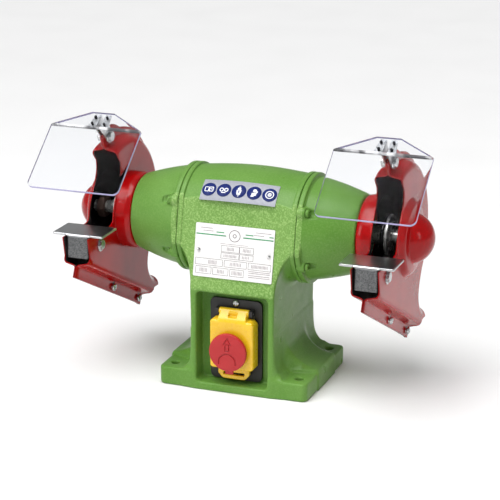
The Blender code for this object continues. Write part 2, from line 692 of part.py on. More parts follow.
def make_shield(side, label, clear, zinc):
    x = side * GUARD_X
    pivot = Vector((x, SHIELD_PIVOT[0], SHIELD_PIVOT[1]))
    hinge = bpy.data.objects.new("shield_hinge_" + label, None)
    hinge.location = pivot * MM
    PARTS.objects.link(hinge)

    bm = bmesh.new()
    corner = 7.0
    slope = Vector((0, PANE_FOLD[0] - PANE_FRONT[0], PANE_FOLD[1] - PANE_FRONT[1])).normalized()
    low = Vector((0, PANE_FRONT[0], PANE_FRONT[1]))
    arc_points = arc((-PANE_HALF_W + corner, corner), corner, 180, 270, 5)
    outline = [Vector((u, 0, 0)) + low + slope * v for u, v in arc_points]
    outline += [Vector((-p.x, p.y, p.z)) for p in reversed(outline)]
    fold = [Vector((s * PANE_HALF_W, PANE_FOLD[0], PANE_FOLD[1])) for s in (1, -1)]
    top = [Vector((s * PANE_TOP_HALF_W, PANE_TOP[0], PANE_TOP[1])) for s in (1, -1)]
    shift = Vector((x, 0, 0)) - pivot
    front_verts = [bm.verts.new((p + shift) * MM) for p in outline]
    fold_verts = [bm.verts.new((p + shift) * MM) for p in fold]
    top_verts = [bm.verts.new((p + shift) * MM) for p in top]
    bm.faces.new(front_verts + fold_verts)
    bm.faces.new([fold_verts[1], fold_verts[0], top_verts[0], top_verts[1]])
    bmesh.ops.recalc_face_normals(bm, faces=bm.faces)
    if sum(face.normal.z for face in bm.faces) < 0:
        bmesh.ops.reverse_faces(bm, faces=bm.faces)
    mesh = bpy.data.meshes.new("shield_pane_" + label)
    bm.to_mesh(mesh)
    bm.free()
    pane = add_object("shield_pane_" + label, mesh, clear)
    pane.parent = hinge
    solid = pane.modifiers.new("sheet", "SOLIDIFY")
    solid.thickness = PANE_T * MM
    solid.offset = -1.0

    run = Vector((PANE_TOP[0] - PANE_FOLD[0], PANE_TOP[1] - PANE_FOLD[1]))
    along = run.normalized()
    down = Vector((along.y, -along.x))
    start = Vector(PANE_FOLD) + along * 2.5 + down * (PANE_T + GAP)
    end = Vector(PANE_FOLD) + along * (run.length - 0.5) + down * (PANE_T + GAP)
    inset = along * 0.5 + down * 0.5
    leaf_outline = [start, end, end + down * BRACKET_T, start + down * BRACKET_T]
    bracket = slab("shield_bracket_" + label, [(p.x, p.y) for p in leaf_outline], BRACKET_W,
                   (x, 0, 0), "YZ", zinc)
    mesh_to_hinge(bracket, hinge, pivot)
    for lean in (-1, 1):
        foot = arc(SHIELD_PIVOT, 6.5, 205, 395, 9)
        ear_outline = [tuple(start + inset), tuple(end + down * 0.5 - along * 0.5)]
        ear = slab("ear_%s_%d" % (label, lean), foot + [ear_outline[1], ear_outline[0]], EAR_T,
                   (x + lean * EAR_X, 0, 0), "YZ")
        join(bracket, ear)
    hole = cylinder("ear_hole_" + label, 3.4, 30.0, pivot, "X", sides=16)
    cut(bracket, hole)
    through_bolt("shield_bolt_" + label, tuple(pivot), 2.9, EAR_X + EAR_T / 2, 6.2, zinc)


def mesh_to_hinge(obj, hinge, pivot):
    """Parent a piece to its hinge and keep it where it is."""
    obj.parent = hinge
    obj.location = obj.location - Vector(pivot) * MM


# ---------------------------------------------------------------- switch


def make_switch(black, grey, yellow, red, green, zinc):
    front = POCKET_FLOOR_Y - GAP - PLATE_T
    plate = slab("switch_plate", rounded_rectangle(PLATE_HALF_X, (PLATE_Z1 - PLATE_Z0) / 2, 6.0),
                 PLATE_T, (0, POCKET_FLOOR_Y - GAP - PLATE_T / 2, (PLATE_Z0 + PLATE_Z1) / 2),
                 "XZ", black)
    opening = box("plate_opening", (-22.0, front - 5, 28.0), (22.0, POCKET_FLOOR_Y + 5, 88.0))
    screw_hole = cylinder("plate_screw_hole", 2.3, 20.0, (0, front, PLATE_SCREW_Z), "Y",
                          sides=12)
    cut(plate, opening, screw_hole)
    for lean in (-1, 1):
        ear = box("pin_ear", (lean * 20.0 - 2.0, LID_PIN_Y - 3.5, 88.5),
                  (lean * 20.0 + 2.0, front + 1.0, 95.5))
        join(plate, ear)
    pin_hole = cylinder("pin_hole", LID_PIN_R + 0.25, 60.0, (0, LID_PIN_Y, LID_PIN_Z), "X",
                        sides=12)
    cut(plate, pin_hole)
    screw = [(0, 0), (2.0, 0), (2.0, 12.5), (3.6, 12.5), (3.6, 13.8), (2.4, 15.0), (0, 15.2)]
    turned("switch_screw", screw, zinc, 14, (0, front + 12.5 - GAP, PLATE_SCREW_Z), "Y")

    body = box("switch_body", (-21.7, front - 0.5, 28.3), (21.7, -14.0, 87.7), grey)
    join(body, box("button_frame", (-20.0, front - 6.0, 31.0), (20.0, front, 83.0)))
    for name, z, mat in (("start_button", START_Z, green), ("stop_button", STOP_Z, red)):
        half_x, half_z = BUTTON_HALF_X + 0.4, BUTTON_HALF_Z + 0.4
        slot = box(name + "_slot", (-half_x, -90.0, z - half_z), (half_x, -50.0, z + half_z))
        cut(body, slot)
        box(name, (-BUTTON_HALF_X, BUTTON_FRONT_Y, z - BUTTON_HALF_Z),
            (BUTTON_HALF_X, BUTTON_FRONT_Y + 9.5, z + BUTTON_HALF_Z), mat, 0.8, 1)

    cylinder("lid_pin", LID_PIN_R, 44.5, (0, LID_PIN_Y, LID_PIN_Z), "X", zinc, 12)

    hinge = bpy.data.objects.new("lid_hinge", None)
    hinge.location = Vector((0, LID_PIN_Y, LID_PIN_Z)) * MM
    PARTS.objects.link(hinge)
    pivot = (0, LID_PIN_Y, LID_PIN_Z)
    lid = box("switch_lid", (-LID_HALF_X, LID_FACE_Y, LID_Z0), (LID_HALF_X, -54.8, LID_Z1),
              yellow, 2.5)
    mesh_to_hinge(lid, hinge, pivot)
    inside = box("lid_inside", (-LID_HALF_X + 2, LID_FACE_Y + 2, LID_Z0 + 2),
                 (LID_HALF_X - 2, -40.0, LID_Z1 - 2))
    cut(lid, inside)
    knuckle = cylinder("lid_knuckle", 4.0, 35.0, pivot, "X", sides=16)
    hump = box("lid_hump", (-17.3, -61.8, 85.0), (17.3, -56.0, 94.4))
    tab_outline = [(-18, 27.5), (-18, 20), (-12, 14), (12, 14), (18, 20), (18, 27.5)]
    tab = slab("lid_tab", tab_outline, 4.0, (0, -60.0, 0), "XZ")
    tab_slot = box("tab_slot", (-12, -66.0, 18.5), (12, -54.0, 21.5))
    join(lid, hump, knuckle, tab)
    bore = cylinder("knuckle_bore", LID_PIN_R + 0.3, 40.0, pivot, "X", sides=12)
    pad_hole = cylinder("pad_hole", 8.4, 10.0, (STOP_X, LID_FACE_Y, STOP_Z), "Y", sides=24)
    cut(lid, tab_slot, bore, pad_hole)

    face = -LID_FACE_Y
    pad = [(0, face + 8.8), (STOP_R - 4, face + 8.6), (STOP_R - 1.0, face + 7.6),
           (STOP_R, face + 6.4), (STOP_R, face + 3.3), (8.0, face + 3.3), (8.0, face - 2.4),
           (10.5, face - 2.4), (10.5, face - 4.0), (8.0, face - 4.6), (8.0, face - 6.6),
           (0, face - 6.6)]
    stop_pad = turned("stop_pad", pad, red, 24, (STOP_X, 0, STOP_Z), "Y")
    mesh_to_hinge(stop_pad, hinge, pivot)


# ---------------------------------------------------------------- electrics


def make_electrics(black, grey):
    turned("capacitor", [(0, 8), (15.0, 8), (16.0, 9), (16.0, 77), (15.0, 78), (0, 78)],
           black, 24, (0, CAPACITOR_Y, 0), "Z")
    wall = GLAND_Y + GAP
    gland = [(5.0, wall - 17), (7.6, wall - 17), (7.6, wall), (11.5, wall), (11.5, wall + 7),
             (10.5, wall + 8), (9.8, wall + 15), (6.5, wall + 19), (5.0, wall + 19)]
    turned("cable_gland", gland, grey, 20, (0, 0, GLAND_Z), "Y", flip=True)


# ---------------------------------------------------------------- assembly


def main():
    green = material("green_paint", (0.18, 0.36, 0.09), 0.42)
    red = material("red_paint", (0.55, 0.01, 0.01), 0.25)
    zinc = material("zinc", (0.62, 0.62, 0.60), 0.35, 1.0)
    steel = material("steel", (0.45, 0.45, 0.45), 0.3, 1.0)
    dark_steel = material("lamination_steel", (0.2, 0.2, 0.22), 0.5, 1.0)
    copper = material("copper_wire", (0.6, 0.25, 0.08), 0.4, 1.0)
    aluminium = material("aluminium", (0.75, 0.75, 0.75), 0.4, 1.0)
    label_metal = material("label_metal", (0.85, 0.85, 0.85), 0.35, 0.6)
    sticker = material("sticker", (0.75, 0.77, 0.8), 0.5)
    clear = material("clear_sheet", (0.92, 0.93, 0.95), 0.05, 0.0, 0.3)
    black = material("black_plastic", (0.02, 0.02, 0.02), 0.4)
    grey = material("grey_plastic", (0.12, 0.12, 0.13), 0.5)
    yellow = material("yellow_plastic", (0.9, 0.62, 0.03), 0.35)
    red_plastic = material("red_plastic", (0.7, 0.03, 0.03), 0.4)
    green_plastic = material("green_plastic", (0.03, 0.4, 0.1), 0.4)

    make_housing(green)
    make_bottom_cover(dark_steel)
    make_nameplate(label_metal, zinc)
    make_safety_label(sticker)
    make_motor(dark_steel, copper, aluminium)
    make_spindle(steel)
    make_electrics(black, grey)
    for side, label in ((-1, "left"), (1, "right")):
        make_bell(side, label, green)
        make_bell_screws(side, label, zinc)
        make_bearings(side, label, steel)
        make_wheel_seat(side, label, steel, zinc)
        make_guard(side, label, red, zinc)
        make_tool_rest(side, label, zinc)
        make_shield(side, label, clear, zinc)
    make_switch(black, grey, yellow, red_plastic, green_plastic, zinc)


clear_scene()
PARTS = new_collection("bench_grinder")
CUTTERS = new_collection("cutters")
main()
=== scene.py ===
"""Looks of a double-ended bench grinder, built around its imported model.

Shapes are worked out in millimetres and written to the meshes in metres.
X runs along the spindle, the operator stands at -Y, Z points up.
"""
import json
import math

import bmesh
import bpy
import numpy as np
from bpy.props import FloatProperty, FloatVectorProperty, PointerProperty
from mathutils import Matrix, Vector
from mathutils.geometry import tessellate_polygon


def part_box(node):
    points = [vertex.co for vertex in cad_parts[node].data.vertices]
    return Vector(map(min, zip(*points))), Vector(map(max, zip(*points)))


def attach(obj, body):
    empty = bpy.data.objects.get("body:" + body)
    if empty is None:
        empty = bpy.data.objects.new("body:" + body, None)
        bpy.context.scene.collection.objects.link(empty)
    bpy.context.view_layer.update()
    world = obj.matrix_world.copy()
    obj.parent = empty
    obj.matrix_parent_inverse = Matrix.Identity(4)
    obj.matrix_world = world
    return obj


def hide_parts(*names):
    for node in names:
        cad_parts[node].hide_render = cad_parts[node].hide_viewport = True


bl_info = {
    "name": "Bench Grinder Looks",
    "version": (1, 0, 0),
    "blender": (4, 5, 0),
    "location": "View3D > Sidebar > Grinder",
    "description": "Builds the cast, pressed and moulded surfaces of a bench grinder",
    "category": "Add Mesh",
}

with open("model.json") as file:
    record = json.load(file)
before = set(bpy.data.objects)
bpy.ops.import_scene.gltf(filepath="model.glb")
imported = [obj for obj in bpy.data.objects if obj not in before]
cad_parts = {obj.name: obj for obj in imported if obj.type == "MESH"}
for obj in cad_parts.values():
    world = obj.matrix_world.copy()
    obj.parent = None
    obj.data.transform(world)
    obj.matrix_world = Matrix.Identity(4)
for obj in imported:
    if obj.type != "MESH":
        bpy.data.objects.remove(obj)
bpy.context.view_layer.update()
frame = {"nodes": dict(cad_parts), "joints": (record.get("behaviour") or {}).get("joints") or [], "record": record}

MM = 0.001
SIDES = (("left", -1.0), ("right", 1.0))
JOINTS = {joint["name"]: joint for joint in frame["joints"]}


def joint_place(name):
    """Place of a hinge in millimetres."""
    return np.array(JOINTS[name]["pos_m"], float) / MM


def cad_box(node):
    """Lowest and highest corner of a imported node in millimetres."""
    low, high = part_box(node)
    return np.array(low, float) / MM, np.array(high, float) / MM


# -------- sizes shared by several pieces

SPINDLE_Z = joint_place("spindle_spin")[2]
GUARD_X = joint_place("shield_tilt_right")[0]
SHIELD_PIVOT = joint_place("shield_tilt_right")[1:]
LID_PIVOT = joint_place("lid_hinge")[1:]

FOOT_HALF_X, FOOT_HALF_Y = cad_box("motor_housing")[1][:2]
FOOT_H = 21.0
BOLT_X, BOLT_Y, BOLT_R = 74.0, 52.0, 4.7
LEAN = math.radians(11.5)
COLUMN_HALF_X, COLUMN_HALF_Y, COLUMN_TOP = 48.0, 69.0, 118.0
WEB_TOP, WEB_HEIGHT, WEB_FRONT_REACH, WEB_REAR_REACH = 68.0, 43.5, 57.0, 65.0
FACET = COLUMN_HALF_Y * math.cos(LEAN) + (COLUMN_TOP - SPINDLE_Z) * math.sin(LEAN)
BARREL_R_END, BARREL_CROWN, BARREL_HALF = 59.5, 4.0, 63.5
POCKET_HALF_X, POCKET_Z, POCKET_HALF_Z, POCKET_FLOOR = 42.0, 61.5, 52.5, -50.0
JOINT_X = 69.0
BELL_END_X, BELL_END_R = cad_box("end_bell_right")[1][0], 42.6
BELL_SCREW_R, BELL_SCREW_ANGLES = 57.0, (32.0, 148.0, 212.0, 328.0)
BOSS_R, BOSS_RECESS_R = 6.2, 4.9
BELL_ROOT_R, BELL_REACH, LUG_CIRCLE_R, LUG_ANGLES = 58.5, 64.0, 38.0, (43.0, 137.0, 223.0, 317.0)
SHEET = 1.5
GUARD_HALF, GUARD_R, HUB_R, DOME_R = 15.7, 84.0, 43.9, 28.25
SEAM_SCREWS = (("front", -24.0, 91.5), ("rear", 46.0, 56.5))
REST_BOLT, REST_LEG_HALF, REST_SHEET = (-84.0, 161.0), 13.2, 2.0
GLAND_Z, PAD_TAB = 40.0, 4.5


# -------- settings


def colour_setting(name, description, default):
    return FloatVectorProperty(name=name, description=description, default=default, subtype="COLOR",
                               size=3, min=0.0, max=1.0)


class CastingSettings(bpy.types.PropertyGroup):
    paint: colour_setting("Enamel", "Colour of the casting's enamel", (0.098, 0.240, 0.034))
    # The light colour is painted light: painted highlights on the enamel's grain and the leaning facet's painted
    # brightness.
    light: colour_setting("Enamel light", "Colour of the painted highlights on the enamel", (0.300, 0.480, 0.150))
    fillet: FloatProperty(name="Fillet", description="Blend between the foot and the column",
                          default=0.006, min=0.001, max=0.012, unit="LENGTH")
    grain: FloatProperty(name="Grain", description="Voxel size of the cast skin",
                         default=0.0014, min=0.001, max=0.004, unit="LENGTH")


class GuardSettings(bpy.types.PropertyGroup):
    paint: colour_setting("Powder coat", "Colour of the guards", (0.40, 0.0008, 0.0015))
    # The inside colour is painted shade: near-black where the real inside is red paint in deep shadow.
    inside: colour_setting("Inside", "Colour of the painted shade inside", (0.012, 0.009, 0.009))
    edge: FloatProperty(name="Edge rounding", default=0.010, min=0.004, max=0.014, unit="LENGTH",
                        description="Depth over which the band turns into the side plate")


class ShieldSettings(bpy.types.PropertyGroup):
    tint: colour_setting("Sheet tint", "Colour of the clear sheet", (0.94, 0.95, 0.97))
    rim: colour_setting("Edge tint", "Colour of the sheet's cut edges", (0.42, 0.40, 0.62))
    corner: FloatProperty(name="Corner", description="Radius of the lower corners",
                          default=0.007, min=0.001, max=0.02, unit="LENGTH")


class SwitchSettings(bpy.types.PropertyGroup):
    lid: colour_setting("Lid", "Colour of the lid", (0.80, 0.50, 0.012))
    pad: colour_setting("Stop pad", "Colour of the stop pad", (0.42, 0.010, 0.014))


class MetalSettings(bpy.types.PropertyGroup):
    zinc: colour_setting("Zinc", "Colour of zinc plating", (0.60, 0.61, 0.62))
    steel: colour_setting("Steel", "Colour of machined steel", (0.62, 0.61, 0.59))


class StageSettings(bpy.types.PropertyGroup):
    floor: colour_setting("Floor", "Colour of the floor", (0.92, 0.92, 0.92))
    lens: FloatProperty(name="Lens", description="Focal length on a 36 mm sensor",
                        default=132.9, min=20.0, max=300.0, subtype="DISTANCE_CAMERA")
    key: FloatProperty(name="Key light", description="Power of the overhead soft box", default=10.0,
                       min=0.0, max=200.0, unit="POWER")
    fill: FloatProperty(name="Even fill", description="Strength of the wide light that evens the floor",
                        default=2.3, min=0.0, max=10.0)


SETTINGS = {"grinder_casting": CastingSettings, "grinder_guards": GuardSettings,
            "grinder_shields": ShieldSettings, "grinder_switch": SwitchSettings,
            "grinder_metal": MetalSettings, "grinder_stage": StageSettings}


# -------- blended distances


def smooth_min(a, b, k):
    """The smaller of two distances, blended by a parabola where they are within k of each other."""
    h = np.clip(0.5 + 0.5 * (b - a) / k, 0.0, 1.0)
    return b + (a - b) * h - k * h * (1.0 - h)


def smooth_max(a, b, k):
    """The larger of two distances, blended where they are within k of each other."""
    return -smooth_min(-a, -b, k)


def rounded(distances, radius):
    """Distance to what lies behind all the given faces, with edges rounded to a radius.

    Outside: the root of the summed squares of the positive parts. Inside: the largest part.
    """
    parts = np.broadcast_arrays(*[d + radius for d in distances])
    outside = np.sqrt(sum(np.maximum(d, 0.0) ** 2 for d in parts))
    return outside + np.minimum(np.maximum.reduce(parts), 0.0) - radius


def field_skin(field, low, high, step):
    """Points and quads on the zero level of a distance field, negative inside.

    Each grid cell that the level crosses holds one point, at the mean of the crossings on the
    cell's edges, and each crossed edge carries one quad between the four cells around it.
    """
    axes = [np.arange(a - 1.5 * step, b + 2.5 * step, step) for a, b in zip(low, high)]
    values = field(*np.meshgrid(*axes, indexing="ij"))
    cells = tuple(n - 1 for n in values.shape)
    size = int(np.prod(cells))
    total = np.zeros((size, 3))
    count = np.zeros(size)
    quads = []
    for axis in range(3):
        first = [slice(None)] * 3
        last = [slice(None)] * 3
        first[axis] = slice(None, -1)
        last[axis] = slice(1, None)
        a, b = values[tuple(first)], values[tuple(last)]
        index = np.argwhere((a < 0.0) != (b < 0.0))
        start, end = a[tuple(index.T)], b[tuple(index.T)]
        crossing = index.astype(float)
        crossing[:, axis] += start / (start - end)
        ring = []
        for du, dv in ((0, 0), (1, 0), (1, 1), (0, 1)):
            cell = index.copy()
            cell[:, (axis + 1) % 3] -= du
            cell[:, (axis + 2) % 3] -= dv
            flat = np.ravel_multi_index(cell.T, cells)
            ring.append(flat)
            count += np.bincount(flat, minlength=size)
            for k in range(3):
                total[:, k] += np.bincount(flat, weights=crossing[:, k], minlength=size)
        ring = np.stack(ring, 1)
        quads.append(np.where((start < 0.0)[:, None], ring, ring[:, ::-1]))
    quads = np.vstack(quads)
    used, quads = np.unique(quads, return_inverse=True)
    points = total[used] / count[used][:, None] * step + np.array([axis[0] for axis in axes])
    return points, quads.reshape(-1, 4)


# -------- surfaces on a grid


def grid_quads(rows, columns, wrap_rows=False, wrap_columns=False):
    """Quads between neighbouring points of a grid, closed round either way on request."""
    index = np.arange(rows * columns).reshape(rows, columns)
    if wrap_columns:
        index = np.hstack([index, index[:, :1]])
    if wrap_rows:
        index = np.vstack([index, index[:1]])
    return np.stack([index[:-1, :-1], index[:-1, 1:], index[1:, 1:], index[1:, :-1]], -1).reshape(-1, 4)


def soften(points, radius, closed=False, steps=5):
    """Polyline whose corners are rounded: each is a parabola between the points a radius before and after."""
    p = np.array(points, float)
    before, after = np.roll(p, 1, 0) - p, np.roll(p, -1, 0) - p
    reach = [np.linalg.norm(d, axis=1, keepdims=True) + 1e-9 for d in (before, after)]
    start = p + before / reach[0] * np.minimum(radius, 0.49 * reach[0])
    end = p + after / reach[1] * np.minimum(radius, 0.49 * reach[1])
    t = np.linspace(0.0, 1.0, steps)[None, :, None]
    curve = (1 - t) ** 2 * start[:, None] + 2 * t * (1 - t) * p[:, None] + t ** 2 * end[:, None]
    if closed:
        return curve.reshape(-1, p.shape[1])
    return np.vstack([p[:1], curve[1:-1].reshape(-1, p.shape[1]), p[-1:]])


def smooth_path(points, count):
    """Catmull-Rom curve through the points, read at even steps of its parameter."""
    p = np.array(points, float)
    p = np.vstack([2 * p[0] - p[1], p, 2 * p[-1] - p[-2]])
    t = np.linspace(0.0, len(points) - 1.0, count)
    i = np.minimum(t.astype(int), len(points) - 2)
    f = (t - i)[:, None]
    a, b, c, d = p[i], p[i + 1], p[i + 2], p[i + 3]
    bend = 2 * a - 5 * b + 4 * c - d
    return 0.5 * (2 * b + (c - a) * f + bend * f ** 2 + (3 * b - a - 3 * c + d) * f ** 3)


def ring_angles(count):
    """Row of even angles round a full turn."""
    return np.linspace(0.0, 2 * np.pi, count, endpoint=False)[None, :]


def ring_points(x, r, angle, height=0.0):
    """Places x along X carried round at radius r: (x, r cos a, height + r sin a)."""
    return np.stack([x + 0 * angle, r * np.cos(angle), height + r * np.sin(angle)], -1).reshape(-1, 3)


def turned(profile, segments=72, closed=True):
    """Profile rows of (place along X, radius) carried round the X axis."""
    x, r = np.hsplit(np.array(profile, float), 2)
    return ring_points(x, r, ring_angles(segments)), grid_quads(len(x), segments, closed, True)


def hexagon(low, high, radius, hole=0.0, segments=72, steps=7):
    """Hexagon along X: apothem over the cosine of the angle to the nearest flat, cut by two chamfer cones."""
    x = np.linspace(low, high, steps)[:, None]
    angle = ring_angles(segments)
    flat = radius * math.cos(np.pi / 6) / np.cos(np.mod(angle, np.pi / 3) - np.pi / 6)
    rim = np.minimum(flat, radius * 0.9 + 1.5 * np.minimum(x - low, high - x))
    end = np.full((1, segments), hole)
    x = np.vstack([[[low]], x, [[high]]])
    return ring_points(x, np.vstack([end, rim, end]), angle), grid_quads(len(x), segments, hole > 0.0, True)


def extruded(outline, low, high):
    """Flat outline (N, 2) given a thickness along its third axis, with one face at each end."""
    outline = np.array(outline, float)
    count = len(outline)
    points = np.vstack([np.column_stack([outline, np.full(count, w)]) for w in (low, high)])
    faces = [tuple(range(count))[::-1], tuple(range(count, 2 * count))]
    return points, faces + grid_quads(2, count, False, True).tolist()


def rounded_rectangle(half_u, half_v, radius, steps=6):
    """Rectangle outline whose corners are quarter circles."""
    angle = np.radians(np.linspace(0.0, 90.0, steps))
    arcs = []
    for turn, (su, sv) in enumerate(((1, 1), (-1, 1), (-1, -1), (1, -1))):
        a = angle + turn * np.pi / 2
        arcs.append(np.column_stack([su * (half_u - radius) + radius * np.cos(a),
                                     sv * (half_v - radius) + radius * np.sin(a)]))
    return np.vstack(arcs)


def disc(radius, hole=0.0, centre=(0.0, 0.0), segments=40):
    """Flat disc or ring as (points, quads) in its own plane."""
    angle = ring_angles(segments)
    r = np.array([[hole], [radius]])
    points = np.stack([centre[0] + r * np.cos(angle), centre[1] + r * np.sin(angle)], -1).reshape(-1, 2)
    return points, grid_quads(2, segments, False, True)


def bar(centre, half_u, half_v, turn=0.0):
    """Flat rectangle as (points, quads) in its own plane, cut fine enough to bend."""
    u, v = np.meshgrid(np.linspace(-half_u, half_u, 7), np.linspace(-half_v, half_v, 5), indexing="ij")
    c, s = math.cos(turn), math.sin(turn)
    points = np.stack([centre[0] + c * u - s * v, centre[1] + s * u + c * v], -1).reshape(-1, 2)
    return points, grid_quads(7, 5)


def gather(*parts):
    """Several (points, faces) as one."""
    points, faces, offset = [], [], 0
    for part_points, part_faces in parts:
        points.append(part_points)
        faces += [tuple(int(i) + offset for i in face) for face in part_faces]
        offset += len(part_points)
    return np.vstack(points), faces


def placed(shape, offset, scale=(1.0, 1.0, 1.0)):
    """Shape scaled about the origin, then moved."""
    points, faces = shape
    return points * np.array(scale) + np.array(offset, float), faces


def around(radius, degrees):
    """(y, height) of a point at an angle round the spindle."""
    angle = math.radians(degrees)
    return radius * math.cos(angle), radius * math.sin(angle)


# -------- pieces


def add_piece(name, shape, materials, body, replaces=(), merge=True, sharp=35.0):
    """Mesh object from (points, faces) in millimetres, riding on a body."""
    points, faces = shape
    faces = faces.tolist() if isinstance(faces, np.ndarray) else faces
    mesh = bpy.data.meshes.new(name)
    mesh.from_pydata((np.asarray(points) * MM).tolist(), [], faces)
    if merge:
        tidy_mesh(mesh)
    mesh.shade_smooth()
    if sharp:
        mesh.set_sharp_from_angle(angle=math.radians(sharp))
    obj = bpy.data.objects.new(name, mesh)
    bpy.context.scene.collection.objects.link(obj)
    for material in materials:
        mesh.materials.append(material)
    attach(obj, body)
    if replaces:
        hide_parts(*replaces)
    return obj


def add_skin(name, shape, material, body, replaced):
    """Piece from a closed field skin, which needs no joining and has no sharp edges."""
    return add_piece(name, shape, [material], body, [replaced], False, 0.0)


def tidy_mesh(mesh, angle=None):
    """Joins points that share a place, drops faces without area and turns the faces outwards."""
    bm = bmesh.new()
    bm.from_mesh(mesh)
    bmesh.ops.remove_doubles(bm, verts=bm.verts, dist=0.000004)
    bmesh.ops.dissolve_degenerate(bm, edges=bm.edges, dist=0.000001)
    if angle:
        bmesh.ops.dissolve_limit(bm, angle_limit=angle, verts=bm.verts, edges=bm.edges)
    bmesh.ops.recalc_face_normals(bm, faces=bm.faces)
    bm.to_mesh(mesh)
    bm.free()


def face_rows(mesh, name):
    """A vector of every face, such as its normal or its centre, as rows."""
    values = np.empty(len(mesh.polygons) * 3)
    mesh.polygons.foreach_get(name, values)
    return values.reshape(-1, 3)


def add_rounding(obj, width, segments=2, angle=32.0):
    bevel = obj.modifiers.new("rounded_edges", "BEVEL")
    bevel.width = width * MM
    bevel.segments = segments
    bevel.limit_method = "ANGLE"
    bevel.angle_limit = math.radians(angle)
    bevel.harden_normals = True


def refine(node, name, material, width=0.5, segments=2):
    """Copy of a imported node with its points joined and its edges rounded."""
    mesh = frame["nodes"][node].data.copy()
    mesh.name = name
    mesh.materials.clear()
    tidy_mesh(mesh, math.radians(0.6))
    mesh.materials.append(material)
    mesh.shade_smooth()
    mesh.set_sharp_from_angle(angle=math.radians(32.0))
    obj = bpy.data.objects.new(name, mesh)
    bpy.context.scene.collection.objects.link(obj)
    add_rounding(obj, width, segments)
    body = next(key for key, nodes in frame["record"]["behaviour"]["bodies"].items() if node in nodes)
    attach(obj, body)
    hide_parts(node)


def paint_node(node, material):
    """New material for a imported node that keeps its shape."""
    mesh = frame["nodes"][node].data
    mesh.materials.clear()
    mesh.materials.append(material)


# -------- materials


def shaded(colour, share, lift=0.0):
    """Colour made darker or lighter by a share."""
    return tuple(min(1.0, channel * share + lift) for channel in colour)


class Surface:
    """A Principled material with helpers for the nodes that feed it."""

    def __init__(self, name, colour, roughness, metallic=0.0, **sockets):
        self.material = bpy.data.materials.new(name)
        self.material.use_nodes = True
        self.tree = self.material.node_tree
        self.shader = self.tree.nodes["Principled BSDF"]
        self.shader.inputs["Base Color"].default_value = (*colour, 1.0)
        self.shader.inputs["Roughness"].default_value = roughness
        self.shader.inputs["Metallic"].default_value = metallic
        for key, value in sockets.items():
            self.shader.inputs[key.replace("_", " ")].default_value = value
        self.material.diffuse_color = (*colour, 1.0)
        self.place = self.tree.nodes.new("ShaderNodeTexCoord").outputs["Object"]

    def node(self, kind, inputs=(), **settings):
        node = self.tree.nodes.new(kind)
        for key, value in settings.items():
            setattr(node, key, value)
        for key, value in dict(inputs).items():
            if isinstance(value, bpy.types.NodeSocket):
                self.tree.links.new(value, node.inputs[key])
            else:
                node.inputs[key].default_value = value
        return node

    def stretched(self, scale):
        """Object coordinates stretched along an axis, for brushed marks."""
        return self.node("ShaderNodeMapping", {"Vector": self.place, "Scale": scale}).outputs["Vector"]

    def noise(self, scale, detail=3.0, vector=None):
        inputs = {"Vector": vector or self.place, "Scale": scale, "Detail": detail}
        return self.node("ShaderNodeTexNoise", inputs).outputs["Fac"]

    def cells(self, scale, feature="F1"):
        inputs = {"Vector": self.place, "Scale": scale}
        return self.node("ShaderNodeTexVoronoi", inputs, feature=feature)

    def ranged(self, value, low, high, out_low, out_high):
        inputs = {"Value": value, "From Min": low, "From Max": high, "To Min": out_low, "To Max": out_high}
        return self.node("ShaderNodeMapRange", inputs).outputs["Result"]

    def mixed(self, factor, first, second):
        mix = self.node("ShaderNodeMix", {0: factor}, data_type="RGBA")
        for key, value in ((6, first), (7, second)):
            if isinstance(value, bpy.types.NodeSocket):
                self.tree.links.new(value, mix.inputs[key])
            else:
                mix.inputs[key].default_value = (*value, 1.0)
        return mix.outputs[2]

    def math(self, operation, first, second):
        return self.node("ShaderNodeMath", {0: first, 1: second}, operation=operation).outputs["Value"]

    def bump(self, height, distance, strength=1.0):
        inputs = {"Height": height, "Distance": distance, "Strength": strength}
        previous = self.shader.inputs["Normal"].links
        if previous:
            inputs["Normal"] = previous[0].from_socket
        self.feed("Normal", self.node("ShaderNodeBump", inputs).outputs["Normal"])

    def feed(self, socket, value):
        self.tree.links.new(value, self.shader.inputs[socket])

    def mottle(self, pattern, low, high, first, second):
        """Base colour that goes from the first to the second where a pattern goes from low to high."""
        self.feed("Base Color", self.mixed(self.ranged(pattern, low, high, 0.0, 1.0), first, second))

    def gloss(self, pattern, low, high, smooth, rough):
        """Roughness that follows a pattern."""
        self.feed("Roughness", self.ranged(pattern, low, high, smooth, rough))


